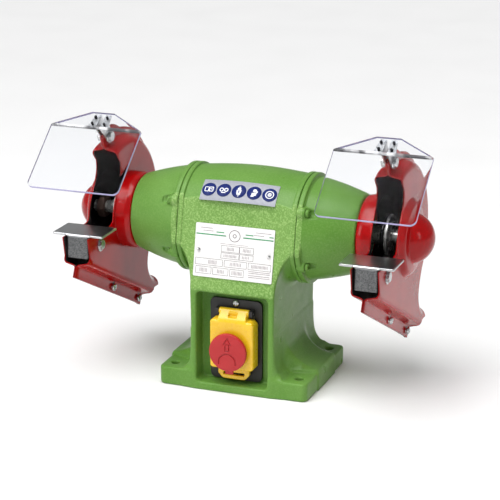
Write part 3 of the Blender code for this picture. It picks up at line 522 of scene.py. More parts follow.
def enamel(name, settings):
    """Thick enamel on cast iron: fine orange peel, and a coarser grain on the leaning faces. The leaning facet is
    painted lighter as painted light, and light specks on the grain are painted highlights, strongest on the facet.
    """
    s = Surface(name, settings.paint, 0.40, IOR=1.28, Coat_Weight=0.04, Coat_Roughness=0.2)
    axes = s.node("ShaderNodeSeparateXYZ", {"Vector": s.place})
    depth = s.math("MULTIPLY", s.math("ABSOLUTE", axes.outputs["Y"], 0.0), math.cos(LEAN))
    height = s.math("MULTIPLY", s.math("SUBTRACT", axes.outputs["Z"], SPINDLE_Z * MM), math.sin(LEAN))
    lean = s.math("ADD", depth, height)
    # Mask of the leaning facet, which is painted lighter as painted light where it faces the lamps.
    leaning = s.ranged(lean, (FACET - 0.7) * MM, (FACET - 0.4) * MM, 0.0, 1.0)
    upper = s.ranged(axes.outputs["Z"], 0.100, 0.122, 0.0, 1.0)
    across = s.ranged(s.math("ABSOLUTE", axes.outputs["X"], 0.0), 0.0755, 0.0760, 1.0, 0.0)
    facet = s.math("MULTIPLY", s.math("MULTIPLY", leaning, upper), across)
    grain = s.cells(520.0)
    peel = s.noise(900.0, 2.0)
    # Light specks on the grain are painted highlights: faint everywhere, strong on the facet.
    speck = s.ranged(s.noise(560.0, 3.0), 0.46, 0.62, 0.0, 1.0)
    light = s.math("MULTIPLY", speck, s.ranged(facet, 0.0, 1.0, 0.12, 0.85))
    # Random lighter patches, plus a quarter of painted light on the facet.
    patches_and_lit_facet = s.math("ADD", s.ranged(s.noise(14.0, 3.0), 0.35, 0.7, 0.0, 0.18), s.math("MULTIPLY", facet, 0.25))
    base = s.mixed(patches_and_lit_facet, settings.paint, settings.light)
    s.feed("Base Color", s.mixed(light, base, settings.light))
    s.gloss(s.noise(60.0), 0.3, 0.7, 0.27, 0.42)
    s.bump(s.math("MULTIPLY", grain.outputs["Distance"], s.ranged(facet, 0.0, 1.0, 0.25, 1.0)), 0.00035, 0.7)
    s.bump(peel, 0.00012, 0.8)
    return s.material


def powder_coat(name, colour):
    """Glossy powder coat with a slight orange peel and faint darker patches at random."""
    s = Surface(name, colour, 0.16, Coat_Weight=0.12, Coat_Roughness=0.04, IOR=1.32)
    s.mottle(s.noise(22.0, 4.0), 0.35, 0.7, colour, shaded(colour, 0.72))
    s.gloss(s.noise(90.0, 4.0), 0.3, 0.75, 0.12, 0.26)
    s.bump(s.noise(260.0, 2.0), 0.00018, 0.35)
    return s.material


def painted_shade_coat(name, colour):
    """Dull near-black coat that paints shade: on the insides of the guards, which are red paint in deep shadow,
    and in the seam slots; lighter patches at random.
    """
    s = Surface(name, colour, 0.55)
    s.mottle(s.noise(70.0, 5.0), 0.45, 0.75, colour, shaded(colour, 3.5, 0.01))
    s.gloss(s.noise(30.0, 4.0), 0.3, 0.7, 0.38, 0.72)
    s.bump(s.noise(500.0, 3.0), 0.0002, 0.5)
    return s.material


def brushed(name, colour, roughness=0.3, along=(40.0, 40.0, 900.0), depth=0.00004, metallic=1.0):
    """Bare or plated metal with fine marks along one direction."""
    s = Surface(name, colour, roughness, metallic)
    marks = s.noise(1.0, 4.0, s.stretched(along))
    s.mottle(marks, 0.35, 0.7, colour, shaded(colour, 0.72))
    s.gloss(s.noise(150.0, 4.0), 0.3, 0.75, roughness - 0.08, roughness + 0.14)
    s.bump(marks, depth, 0.5)
    return s.material


def spangled(name, colour, fold_z):
    """Galvanised sheet: crystal cells of differing brightness below the fold, smooth plating above. The cells are
    also painted much darker than the plating, as painted shade on the rest's upright faces.
    """
    s = Surface(name, colour, 0.34, 1.0)
    axes = s.node("ShaderNodeSeparateXYZ", {"Vector": s.place})
    below = s.ranged(axes.outputs["Z"], (fold_z - 1.5) * MM, (fold_z - 4.0) * MM, 0.0, 1.0)
    shade = s.node("ShaderNodeSeparateColor", {"Color": s.cells(900.0).outputs["Color"]}).outputs["Red"]
    # The crystal cells are real spangle, and are also painted far darker than the plating as painted shade.
    crystals_and_shade = s.mixed(s.math("MULTIPLY", shade, s.noise(1800.0, 2.0)), shaded(colour, 0.13),
                       shaded(colour, 0.55))
    plating = s.mixed(s.ranged(s.noise(18.0, 5.0), 0.35, 0.7, 0.0, 1.0), colour, shaded(colour, 0.82))
    s.feed("Base Color", s.mixed(below, plating, crystals_and_shade))
    s.gloss(s.math("MULTIPLY", shade, below), 0.0, 1.0, 0.28, 0.55)
    s.bump(s.math("MULTIPLY", s.noise(1400.0, 3.0), below), 0.00025, 0.6)
    s.bump(s.noise(1.0, 3.0, s.stretched((60.0, 900.0, 60.0))), 0.00002, 0.4)
    return s.material


def moulded(name, colour, roughness=0.35, depth=0.00006, coat=0.0):
    """Moulded plastic with a fine spark-eroded grain and faint rubbed patches."""
    s = Surface(name, colour, roughness, Coat_Weight=coat, Coat_Roughness=0.1)
    s.mottle(s.noise(55.0, 4.0), 0.45, 0.75, colour, shaded(colour, 1.12, 0.004))
    s.gloss(s.noise(120.0, 4.0), 0.3, 0.75, roughness - 0.06, roughness + 0.1)
    s.bump(s.noise(1500.0, 2.0), depth, 0.5)
    return s.material


def clear_sheet(name, colour):
    """Clear polycarbonate with faint handling marks in its gloss."""
    s = Surface(name, colour, 0.02, Transmission_Weight=1.0, IOR=1.07)
    s.gloss(s.noise(45.0, 5.0), 0.45, 0.8, 0.015, 0.09)
    s.bump(s.noise(20.0, 2.0), 0.00004, 0.2)
    return s.material


def bent_sheet(name, colour):
    """Heated bend line of the clear sheet: bright and dark dashes that run on from each other, painted highlights
    and painted dark reflections of the bend, less see-through where the dashes are dark.
    """
    s = Surface(name, colour, 0.12, Transmission_Weight=0.55, IOR=1.3)
    dash = s.noise(1.0, 2.0, s.stretched((55.0, 8.0, 8.0)))
    s.mottle(dash, 0.42, 0.58, (0.12, 0.12, 0.13), (0.95, 0.95, 0.97))
    s.feed("Transmission Weight", s.ranged(dash, 0.40, 0.60, 0.25, 0.75))
    return s.material


def printed(name, colour, roughness=0.4, metallic=0.0):
    """Ink or film, slightly uneven in tone."""
    s = Surface(name, colour, roughness, metallic)
    s.mottle(s.noise(240.0, 3.0), 0.3, 0.75, colour, shaded(colour, 1.15))
    s.gloss(s.noise(300.0, 2.0), 0.3, 0.7, roughness - 0.05, roughness + 0.08)
    return s.material


# -------- casting


def casting_field(x, y, z):
    """Foot, flared web, column and crowned barrel, blended, with the switch pocket taken out.

    The barrel is a cylinder whose radius follows a cosine along X. The column is a rounded
    rectangle that widens with the square of its height above the pocket. Both are cut by the two
    leaning planes. The web is what lies outside a large ellipse beside the column; the ellipse is
    shorter near the bolts, which leaves a flat round each of them.
    """
    ax, ay, height = np.abs(x), np.abs(y), z - SPINDLE_Z
    barrel_r = BARREL_R_END + BARREL_CROWN * np.cos(np.clip(ax / BARREL_HALF, 0.0, 1.0) * np.pi / 2)
    barrel = smooth_max(np.hypot(y, height) - barrel_r, ax - JOINT_X + 1.0, 1.0)
    rise = np.clip((z - COLUMN_TOP) / 44.0, 0.0, 1.0)
    depth = COLUMN_HALF_Y - np.maximum(z - COLUMN_TOP, 0.0) * math.tan(LEAN)
    draft = 1.5 * np.clip((z - 40.0) / 78.0, 0.0, 1.0)
    column = rounded([ax - COLUMN_HALF_X - draft - 12.5 * rise ** 2, ay - depth], 2.2)
    column = np.maximum(column, height)
    body = smooth_min(barrel, column, 9.0)
    body = np.maximum(body, ay * math.cos(LEAN) + height * math.sin(LEAN) - FACET)
    foot = rounded([ax - FOOT_HALF_X, ay - FOOT_HALF_Y], 7.0)
    foot = rounded([foot, np.abs(z - FOOT_H / 2) - FOOT_H / 2], 2.2)
    share = np.clip((42.0 - ay) / 16.0, 0.0, 1.0)
    share = share * share * (3.0 - 2.0 * share)
    near_bolts = np.where(y < 0.0, WEB_FRONT_REACH, WEB_REAR_REACH)
    reach = near_bolts * (1.0 - share) + (FOOT_HALF_X + 3.0) * share
    spread = reach - COLUMN_HALF_X + 1.0
    ellipse = np.hypot((reach - ax) / spread, (z - WEB_TOP) / WEB_HEIGHT)
    flare = (1.0 - ellipse) * np.minimum(spread, WEB_HEIGHT)
    flare = smooth_max(smooth_max(flare, z - WEB_TOP, 2.0), ax - np.minimum(reach, FOOT_HALF_X - 0.3), 2.0)
    web = smooth_max(flare, ay - 67.5, 4.0)
    fillet = bpy.context.scene.grinder_casting.fillet / MM
    cast = smooth_min(smooth_min(body, foot, fillet), np.maximum(web, -z), fillet)
    pocket = rounded([ax - POCKET_HALF_X, np.abs(z - POCKET_Z) - POCKET_HALF_Z], 5.0)
    pocket = smooth_max(pocket, y - POCKET_FLOOR, 2.5)
    cast = smooth_max(cast, -pocket, 2.6)
    cast = smooth_max(cast, BOLT_R - np.hypot(ax - BOLT_X, ay - BOLT_Y), 1.2)
    under = rounded([ax - 62.6, ay - 52.6, z - 2.4], 0.5)
    return np.maximum(np.maximum(cast, -under), -z)


def faceted_ring(profile, side, segments=160):
    """Closed profile of (distance from the middle, radius) carried round the spindle.

    The radius is limited to the leaning plane's distance over the cosine of the angle to it.
    """
    x, r = np.hsplit(np.array(profile, float), 2)
    angle = ring_angles(segments)
    reach = np.abs(np.cos(angle)) * math.cos(LEAN) + np.sin(angle) * math.sin(LEAN)
    limit = (FACET + 0.45 * (r - BARREL_R_END)) / np.maximum(reach, 0.05)
    r = smooth_min(r + 0 * limit, limit, 0.3)
    return ring_points(side * x, r, angle, SPINDLE_Z), grid_quads(len(x), segments, True, True)


def bell_field(x, y, z):
    """Bellied cone with screw bosses at its joint and lugs at its small end; x is the distance outwards."""
    height = z - SPINDLE_Z
    radial = np.hypot(y, height)
    t = np.clip((x - JOINT_X) / (BELL_END_X - JOINT_X), 0.0, 1.0)
    cone = BELL_ROOT_R + (BELL_END_R - BELL_ROOT_R) * t + 1.6 * np.sin(np.pi * t)
    bell = rounded([radial - cone, x - BELL_END_X, JOINT_X + 0.3 - x], 2.4)
    for angle in BELL_SCREW_ANGLES:
        across, up = around(BELL_SCREW_R, angle)
        away = np.hypot(y - across, height - up)
        bell = smooth_min(bell, rounded([away - BOSS_R, np.abs(x - 74.0) - 4.7], 1.2), 2.5)
        bell = np.maximum(bell, -rounded([away - BOSS_RECESS_R, 78.7 - x, x - 90.0], 1.0))
    for angle in LUG_ANGLES:
        across, up = around(LUG_CIRCLE_R, angle)
        away = np.hypot(y - across, height - up)
        bell = smooth_min(bell, rounded([away - 6.5, np.abs(x - 121.0) - 8.0], 1.5), 2.5)
    return smooth_max(bell, 12.5 - radial, 1.0)


class GRINDER_OT_casting(bpy.types.Operator):
    """Casting, joint lips and end bells"""

    bl_idname = "grinder.casting"
    bl_label = "Casting"

    def execute(self, context):
        settings = context.scene.grinder_casting
        paint = enamel("green_enamel", settings)
        grain = settings.grain / MM * 1.0
        skin = field_skin(casting_field, (-FOOT_HALF_X, -FOOT_HALF_Y, 0.0),
                          (FOOT_HALF_X, FOOT_HALF_Y, SPINDLE_Z + BARREL_R_END + BARREL_CROWN), grain)
        add_skin("cast_pedestal", skin, paint, "machine", "motor_housing")
        near, far = JOINT_X - 0.3, JOINT_X + 0.3
        housing_lip = soften([(55.0, 55.0), (near, 55.0), (near, 61.2), (68.0, 61.95), (64.4, 61.95),
                              (63.2, 61.3), (62.9, 59.0), (59.5, 58.0)], 0.5, True, 3)
        bell_lip = soften([(far, 52.0), (far, 61.0), (70.1, 61.8), (73.8, 61.8), (75.0, 61.1),
                           (75.3, 58.6), (76.6, 57.6), (76.6, 52.0)], 0.5, True, 3)
        for label, side in SIDES:
            for name, lip in (("joint_lip_", housing_lip), ("bell_lip_", bell_lip)):
                add_piece(name + label, faceted_ring(lip, side), [paint], "machine")
            bell = field_skin(bell_field, (JOINT_X, -BELL_REACH, SPINDLE_Z - BELL_REACH),
                              (BELL_END_X, BELL_REACH, SPINDLE_Z + BELL_REACH), 1.1)
            add_piece("bell_" + label, placed(bell, (0.0, 0.0, 0.0), (side, 1.0, 1.0)), [paint], "machine",
                      ["end_bell_" + label], True, 0.0)
        return {"FINISHED"}


# -------- guards


def hood_path():
    """Seam line of the hood and its tail, as rows of (y, z, flange width, share of roof section)."""
    angle = np.linspace(114.5, -42.0, 96)
    a = np.radians(angle)
    flange = 8.5 + 8.0 * np.clip((angle - 86.0) / 10.0, 0.0, 1.0)
    flange = np.where(angle < -20.0, 8.5 + 4.5 * (angle + 20.0) / 22.0, flange)
    share = np.clip((angle - 96.0) / 14.0, 0.0, 1.0)
    arc = np.column_stack([GUARD_R * np.cos(a), SPINDLE_Z + GUARD_R * np.sin(a), flange, share])
    tail = smooth_path([arc[-1], (55.0, 110.0, 3.0, 0.0), (53.0, 98.0, 3.0, 0.0), (58.0, 87.0, 3.0, 0.0),
                        (67.0, 79.0, 3.0, 0.0), (78.0, 75.0, 3.0, 0.0)], 40)
    return np.vstack([arc, tail[1:]])


def floor_path():
    """Seam line of the duct's floor, from its mouth to the outlet."""
    return smooth_path([(-114.0, 143.0, 13.0, 1.0), (-36.0, 104.5, 13.0, 1.0), (42.0, 66.0, 13.0, 0.9),
                        (58.0, 57.0, 13.0, 0.6)], 30)


def guard_strip(path, middle, direction, turn):
    """Seam flange and rounded band along a path.

    Two softened sections, a flat roof with tight corners and a full round, are mixed along the
    path by the share given in its last column.
    """
    width = GUARD_HALF - SHEET - 0.15
    depth = bpy.context.scene.grinder_guards.edge / MM
    run = np.gradient(path[:, :2], axis=0)
    run /= np.linalg.norm(run, axis=1, keepdims=True)
    normal = np.column_stack([-run[:, 1], run[:, 0]]) * turn
    roof = soften([(3.0, 0.0), (0.2, 0.1), (-1.2, 3.0), (-3.2, width - 1.6), (-6.4, width), (-depth, width)],
                  1.6, False, 5)
    phi = np.radians(np.linspace(0.0, 90.0, len(roof) - 4))
    bulge = np.column_stack([-depth * (1 - np.cos(phi)), width * np.sin(phi)])
    round_top = np.vstack([[(3.0, 0.0), (1.4, 0.05), (0.5, 0.3), (0.1, 0.9)], bulge])
    round_top[4:, 1] = np.maximum(round_top[4:, 1], 1.6)
    share = path[:, 3][None, :]
    offsets = roof[:, :1] * share + round_top[:, :1] * (1 - share)
    across = roof[:, 1:] * share + round_top[:, 1:] * (1 - share)
    offsets = np.vstack([path[:, 2][None, :], offsets])
    across = np.vstack([0 * share, across])
    edge = path[:, :2][None] + normal[None] * offsets[:, :, None]
    points = np.concatenate([(middle + direction * across)[:, :, None], edge], -1)
    return points.reshape(-1, 3), grid_quads(*offsets.shape), points[-1]


def guard_shell(side, half):
    """One pressed half: flange, band, flat side plate and its hub dish or dome."""
    direction = side * half
    middle = side * GUARD_X + direction * (0.3 + SHEET) / 2
    hood_points, hood_quads, hood_edge = guard_strip(hood_path(), middle, direction, 1.0)
    floor_points, floor_quads, floor_edge = guard_strip(floor_path(), middle, direction, -1.0)
    plate_x = hood_edge[0, 0]
    mouth = [(-114.0, 174.4), (-53.0, 174.4), (-47.5, 178.0), (-46.0, 190.0), (-40.0, 202.0), (-30.0, 214.0),
             (-23.0, 228.0), (-24.0, 240.0)]
    mouth = soften(mouth, 7.0, False, 7)
    front = np.column_stack([np.full(len(mouth), plate_x), mouth])
    outer = np.vstack([hood_edge, floor_edge[::-1], front])
    if half < 0:
        hub = soften([(HUB_R, 0.0), (43.3, 0.8), (43.0, 12.5), (41.6, 17.6), (36.0, 17.6)], 2.0, False, 8)
    else:
        a = np.radians(np.linspace(19.0, 90.0, 20))
        dome = np.column_stack([DOME_R * np.cos(a), DOME_R * np.sin(a) - 0.25])
        dish = soften([(HUB_R, 0.0), (42.6, 1.0), (38.0, 6.0), (28.6, 7.2), (27.2, 8.2)], 2.6, False, 8)
        hub = np.vstack([dish, dome])
    segments = 72
    hub_points, hub_quads = placed(turned(hub[:, ::-1], segments, False), (plate_x, 0.0, SPINDLE_Z),
                                   (direction, 1.0, 1.0))
    hole = hub_points[:segments]
    triangles = tessellate_polygon([[Vector((p[1], p[2], 0.0)) for p in loop] for loop in (outer, hole)])
    return gather((hood_points, hood_quads), (floor_points, floor_quads),
                  (np.vstack([outer, hole]), triangles), (hub_points, hub_quads))


def seam_slot_shade(x):
    """Dark solid blocks through both seam flanges, above the two seam screws: painted shade that stands in for the
    slots there.
    """
    down = np.array([0.892, -0.452])
    up = np.array([0.452, 0.892])
    outline = rounded_rectangle(1.5, 3.4, 1.45)
    parts = []
    for _, *screw in SEAM_SCREWS:
        centre = np.array(screw) + up * 6.2
        points, faces = extruded(outline, -SHEET - 0.22, SHEET + 0.22)
        spot = centre + points[:, :1] * down + points[:, 1:2] * up
        parts.append((np.column_stack([x + points[:, 2], spot]), faces))
    return gather(*parts)


class GRINDER_OT_guards(bpy.types.Operator):
    """Pressed wheel guards"""

    bl_idname = "grinder.guards"
    bl_label = "Wheel guards"

    def execute(self, context):
        settings = context.scene.grinder_guards
        red = powder_coat("red_powder_coat", settings.paint)
        # Near-black painted shade for the guards' insides, dark red painted shade for the seam slots.
        dark = painted_shade_coat("sooty_inside", settings.inside)
        shade = painted_shade_coat("slot_shade", (0.05, 0.001, 0.002))
        for label, side in SIDES:
            # Dark blocks painted as the shade in the flange slots.
            add_piece("seam_slots_" + label, seam_slot_shade(side * GUARD_X), [shade], "machine")
            for half, place in ((-1, "inner"), (1, "outer")):
                shell = add_piece("guard_shell_%s_%s" % (label, place), guard_shell(side, half), [red, dark],
                                  "machine", ["guard_%s_%s" % (label, place)], True, 40.0)
                face_outwards(shell.data, side * GUARD_X)
                solid = shell.modifiers.new("sheet", "SOLIDIFY")
                solid.thickness = SHEET * MM
                solid.offset = 0.0
                # Inner faces take the second material, the near-black painted shade.
                solid.material_offset = 1
                solid.material_offset_rim = 0
                shell.modifiers.new("flat_plates", "WEIGHTED_NORMAL").keep_sharp = True
        return {"FINISHED"}


def face_outwards(mesh, middle_x):
    """Turns an open shell so that its side plate looks away from the guard's middle plane."""
    areas = np.empty(len(mesh.polygons))
    mesh.polygons.foreach_get("area", areas)
    outward = np.sign(face_rows(mesh, "center")[:, 0] - middle_x * MM)
    if np.sum(face_rows(mesh, "normal")[:, 0] * areas * outward) < 0:
        mesh.flip_normals()


# -------- spindle and bolts


def bolt(centre, radius, half_grip, head_radius, hexagonal):
    """Shank with a head at +X and a hexagon nut at -X."""
    head = half_grip + 0.3
    shank = [(-head - 5.5, 0.0), (-head - 5.5, radius), (head + 0.5, radius), (head + 0.5, 0.0)]
    parts = [turned(soften(shank, 0.5, False, 3), 28, False)]
    if hexagonal:
        washer = [(head, 0.0), (head, head_radius * 1.3), (head + 0.9, head_radius * 1.3), (head + 0.9, 0.0)]
        parts += [turned(washer, 40, False), hexagon(head + 0.9, head + 3.4, head_radius)]
    else:
        dome = [(head, 0.0), (head, head_radius), (head + 1.7, head_radius), (head + 3.2, head_radius * 0.55),
                (head + 3.0, 0.9), (head + 1.6, 0.8), (head + 1.6, 0.0)]
        parts.append(turned(soften(dome, 1.0, False, 5), 40, False))
    parts.append(hexagon(-head - 4.0, -head, head_radius * 1.1))
    return placed(gather(*parts), centre)


def threaded_shaft():
    """Stepped shaft whose ends carry a thread: a triangle wave of the place along X less the turn."""
    rows = np.array([(0.0, 10.0), (104.0, 10.0), (104.2, 8.2), (126.0, 8.2), (126.3, 10.1), (127.0, 10.5),
                     (151.3, 10.5), (151.9, 9.9), (152.0, 7.8), (176.0, 7.8), (176.6, 7.0)])
    thread = np.column_stack([np.arange(177.0, 192.6, 0.25), np.full(63, 7.0)])
    tip = np.array([(193.0, 6.6), (193.8, 5.8), (194.0, 5.0), (194.0, 0.0)])
    half = np.vstack([rows, thread, tip])
    profile = np.vstack([half[::-1] * np.array([-1.0, 1.0]), half[1:]])
    angle = ring_angles(60)
    x, r = np.hsplit(profile, 2)
    wave = np.abs(np.mod(x / 1.75 - angle / (2 * np.pi), 1.0) * 2 - 1) * 0.75
    r = r - np.where((np.abs(x) > 176.9) & (np.abs(x) < 192.8), wave, 0.0)
    return ring_points(x, r, angle, SPINDLE_Z), grid_quads(len(x), 60, False, True)


class GRINDER_OT_metalwork(bpy.types.Operator):
    """Spindle, flanges, nuts, bolts and screws"""

    bl_idname = "grinder.metalwork"
    bl_label = "Spindle and fasteners"

    def execute(self, context):
        settings = context.scene.grinder_metal
        steel = brushed("machined_steel", settings.steel, 0.24, (900.0, 60.0, 60.0), metallic=0.55)
        zinc = brushed("zinc_plating", settings.zinc, 0.22, (160.0, 160.0, 160.0))
        # The wheel nuts are dark steel; their brown is a painted reflection of the red guard around them.
        nut_reflection_tint = brushed("browned_nut", (0.24, 0.15, 0.12), 0.42, (300.0, 300.0, 300.0), metallic=0.3)
        blued = brushed("blued_flange", (0.05, 0.048, 0.05), 0.28, (60.0, 900.0, 900.0))
        painted = enamel("screw_enamel", context.scene.grinder_casting)
        add_piece("spindle", threaded_shaft(), [steel], "spindle", ["spindle_shaft"])
        axis = np.array([0.0, 0.0, SPINDLE_Z])
        inner = soften([(153.8, 16.0), (153.8, 24.0), (156.6, 24.0), (157.4, 23.0), (157.4, 8.1),
                        (152.3, 8.1), (152.3, 14.0)], 0.5, True, 4)
        outer = soften([(157.7, 8.1), (157.7, 23.0), (158.5, 24.0), (161.6, 24.0), (161.6, 17.5),
                        (163.0, 15.0), (163.0, 8.1)], 0.5, True, 4)
        screw = soften([(62.5, 0.0), (62.5, 2.3), (78.9, 2.3), (78.9, 4.4), (81.6, 4.4), (82.4, 3.6),
                        (82.4, 2.2), (80.6, 2.0), (80.6, 0.0)], 0.5, False, 4)
        for label, side in SIDES:
            x, flip = side * GUARD_X, (side, 1.0, 1.0)
            for name, profile, finish in (("inner", inner, blued), ("outer", outer, steel)):
                add_piece("wheel_flange_%s_%s" % (name, label), placed(turned(profile, 96), axis, flip),
                          [finish], "spindle", ["flange_%s_%s" % (name, label)])
            add_piece("wheel_nut_" + label, placed(hexagon(179.0, 187.0, 13.3, 7.2), axis, flip), [nut_reflection_tint],
                      "spindle", ["spindle_nut_" + label])
            add_piece("rest_fixing_" + label, bolt((x, *REST_BOLT), 2.9, GUARD_HALF, 6.0, True), [zinc],
                      "machine", ["rest_bolt_" + label])
            add_piece("shield_fixing_" + label, bolt((x, *SHIELD_PIVOT), 2.9, 4.2, 6.0, True), [zinc],
                      "machine", ["shield_bolt_" + label])
            for place, y, z in SEAM_SCREWS:
                add_piece("seam_screw_%s_%s" % (label, place), bolt((x, y, z), 2.5, 2.6, 4.4, False), [zinc],
                          "machine", ["guard_screw_%s_%s" % (label, place)])
            for number, angle in enumerate(BELL_SCREW_ANGLES, 1):
                spot = axis + np.array([0.0, *around(BELL_SCREW_R, angle)])
                add_piece("bell_fixing_%s_%d" % (label, number), placed(turned(screw, 32, False), spot, flip),
                          [painted], "machine", ["bell_screw_%s_%d" % (label, number)])
            for ring in ("inner", "outer"):
                paint_node("bearing_%s_%s" % (label, ring), steel)
            paint_node("winding_" + label, brushed("winding_copper_" + label, (0.55, 0.2, 0.07), 0.4,
                                                   (600.0, 30.0, 600.0), 0.0003))
        paint_node("rotor_core", brushed("rotor_metal", (0.62, 0.62, 0.63), 0.38, (30.0, 700.0, 700.0)))
        paint_node("stator_core", brushed("stator_sheets", (0.16, 0.16, 0.18), 0.45, (1500.0, 20.0, 20.0)))
        paint_node("bottom_cover", brushed("cover_sheet", (0.28, 0.28, 0.29), 0.42, (40.0, 600.0, 40.0)))
        paint_node("capacitor", moulded("capacitor_case", (0.02, 0.02, 0.022), 0.4))
        return {"FINISHED"}


# -------- tool rests


def rest_field(x, y, z):
    """Flat plate joined by a rounded fold to a channel: a front and two side walls, slotted for the bolt."""
    low, high = cad_box("tool_rest_right")
    half_y, middle_y = (high[1] - low[1]) / 2, (high[1] + low[1]) / 2
    ax = np.abs(x)
    top = rounded([ax - high[0] + GUARD_X, np.abs(y - middle_y) - half_y], 1.6)
    top = rounded([top, np.abs(z - high[2] + 1.25) - 1.25], 0.5)
    channel = rounded([ax - REST_LEG_HALF, low[1] - y], 2.6)
    hollow = rounded([ax - REST_LEG_HALF + REST_SHEET, low[1] + REST_SHEET - y], 1.2)
    leg = np.maximum.reduce([channel, -hollow, y + 74.0, low[2] - z, z - high[2] + 0.6])
    rest = smooth_min(top, leg, 1.2)
    slot = rounded([np.abs(y + 88.0) - 13.4, np.abs(z - REST_BOLT[1]) - 3.4], 3.3)
    fold = rounded([low[1] - y, z - high[2]], 2.6)
    rest = np.where(ax < 14.5, np.maximum(rest, fold), rest)
    return np.maximum(rest, -np.maximum(slot, 9.0 - ax))


class GRINDER_OT_rests(bpy.types.Operator):
    """Folded tool rests"""

    bl_idname = "grinder.rests"
    bl_label = "Tool rests"

    def execute(self, context):
        low, high = cad_box("tool_rest_right")
        plated = spangled("galvanised_rest", context.scene.grinder_metal.zinc, high[2])
        centre = np.array([GUARD_X, 0.0, 0.0])
        rest = field_skin(rest_field, low - centre, high - centre, 0.7)
        for label, side in SIDES:
            add_skin("rest_" + label, placed(rest, side * centre), plated, "rest_" + label,
                     "tool_rest_" + label)
        return {"FINISHED"}


# -------- eye shields

PANE_HALF_W, PANE_TOP_HALF_W, PANE_T = 54.4, 13.4, 3.0
PANE_FRONT, PANE_FOLD, PANE_TOP = (-121.0, 231.0), (-55.0, 286.0), (-34.0, 298.0)
PANE_RUN = np.subtract(PANE_TOP, PANE_FOLD) / np.linalg.norm(np.subtract(PANE_TOP, PANE_FOLD))
PANE_UP = np.array([-PANE_RUN[1], PANE_RUN[0]])
FOLD_HALF = 0.8


def pane_surface(x):
    """Bent sheet: a softened side view carried across, as wide as the outline is at each place.

    The half width is full behind the corner's circle, and tapers in a line above the fold.
    """
    corner = bpy.context.scene.grinder_shields.corner / MM
    side_view = soften([PANE_FRONT, PANE_FOLD, PANE_TOP], 3.0, False, 9)
    legs = np.linalg.norm(np.diff(side_view, axis=0), axis=1)
    length = np.concatenate([[0.0], np.cumsum(legs)])
    fold_at = np.linalg.norm(np.subtract(PANE_FOLD, PANE_FRONT))
    stations = np.concatenate([corner * (1 - np.cos(np.radians(np.linspace(0.0, 90.0, 9)))),
                               np.linspace(corner, fold_at - 4.0, 8)[1:],
                               np.linspace(fold_at - 3.6, fold_at + 3.6, 12),
                               np.linspace(fold_at + 4.0, length[-1], 6)])
    y, z = (np.interp(stations, length, side_view[:, k]) for k in (0, 1))
    inset = np.clip(corner - stations, 0.0, corner)
    half = PANE_HALF_W - corner + np.sqrt(np.maximum(corner ** 2 - inset ** 2, 0.0))
    taper = np.clip((stations - fold_at) / (length[-1] - fold_at), 0.0, 1.0)
    half = half + (PANE_TOP_HALF_W - PANE_HALF_W) * taper
    u = np.linspace(-1.0, 1.0, 25)[None, :]
    points = np.stack([x + half[:, None] * u, y[:, None] + 0 * u, z[:, None] + 0 * u], -1)
    return points.reshape(-1, 3), grid_quads(len(stations), 25)


def bracket_shape(x):
    """Two tapered strips under the pane and two ears that straddle the guard's seam flange."""
    start, end = PANE_FOLD + PANE_RUN * 2.5 - PANE_UP * 3.3, PANE_TOP - PANE_RUN * 0.5 - PANE_UP * 3.3
    corners = [start, start, end, end]
    faces = [(0, 1, 2, 3), (7, 6, 5, 4), (0, 4, 5, 1), (1, 5, 6, 2), (2, 6, 7, 3), (3, 7, 4, 0)]
    parts = []
    for lean in (-1.0, 1.0):
        widths = [lean * 2.4, lean * 12.6, lean * 9.4, lean * 2.4]
        strip = [np.array([x + w, *(p - PANE_UP * d)]) for d in (0.0, 1.6) for w, p in zip(widths, corners)]
        parts.append((np.array(strip), faces))
        a = np.radians(np.linspace(205.0, 395.0, 15))
        foot = np.column_stack([SHIELD_PIVOT[0] + 6.5 * np.cos(a), SHIELD_PIVOT[1] + 6.5 * np.sin(a)])
        ear = np.vstack([foot, end - PANE_UP - PANE_RUN * 0.6, start - PANE_UP + PANE_RUN * 0.6])
        points, ear_faces = extruded(ear, lean * 3.2 - 1.0, lean * 3.2 + 1.0)
        parts.append((points[:, [2, 0, 1]] + np.array([x, 0.0, 0.0]), ear_faces))
    return gather(*parts)


def bracket_screws(x):
    """Four small screw heads that hold the strips to the pane."""
    profile = soften([(-4.5, 0.0), (-4.5, 1.5), (0.2, 1.5), (0.8, 1.0), (0.8, 0.0)], 0.3, False, 3)
    head, faces = turned(profile, 20, False)
    section = head[:, :1] * PANE_UP + head[:, 2:3] * PANE_RUN
    parts = []
    for across in (-7.0, 7.0):
        for along in (7.0, 17.5):
            spot = PANE_FOLD + PANE_RUN * along
            parts.append((np.column_stack([x + across + head[:, 1], spot + section]), faces))
    return gather(*parts)


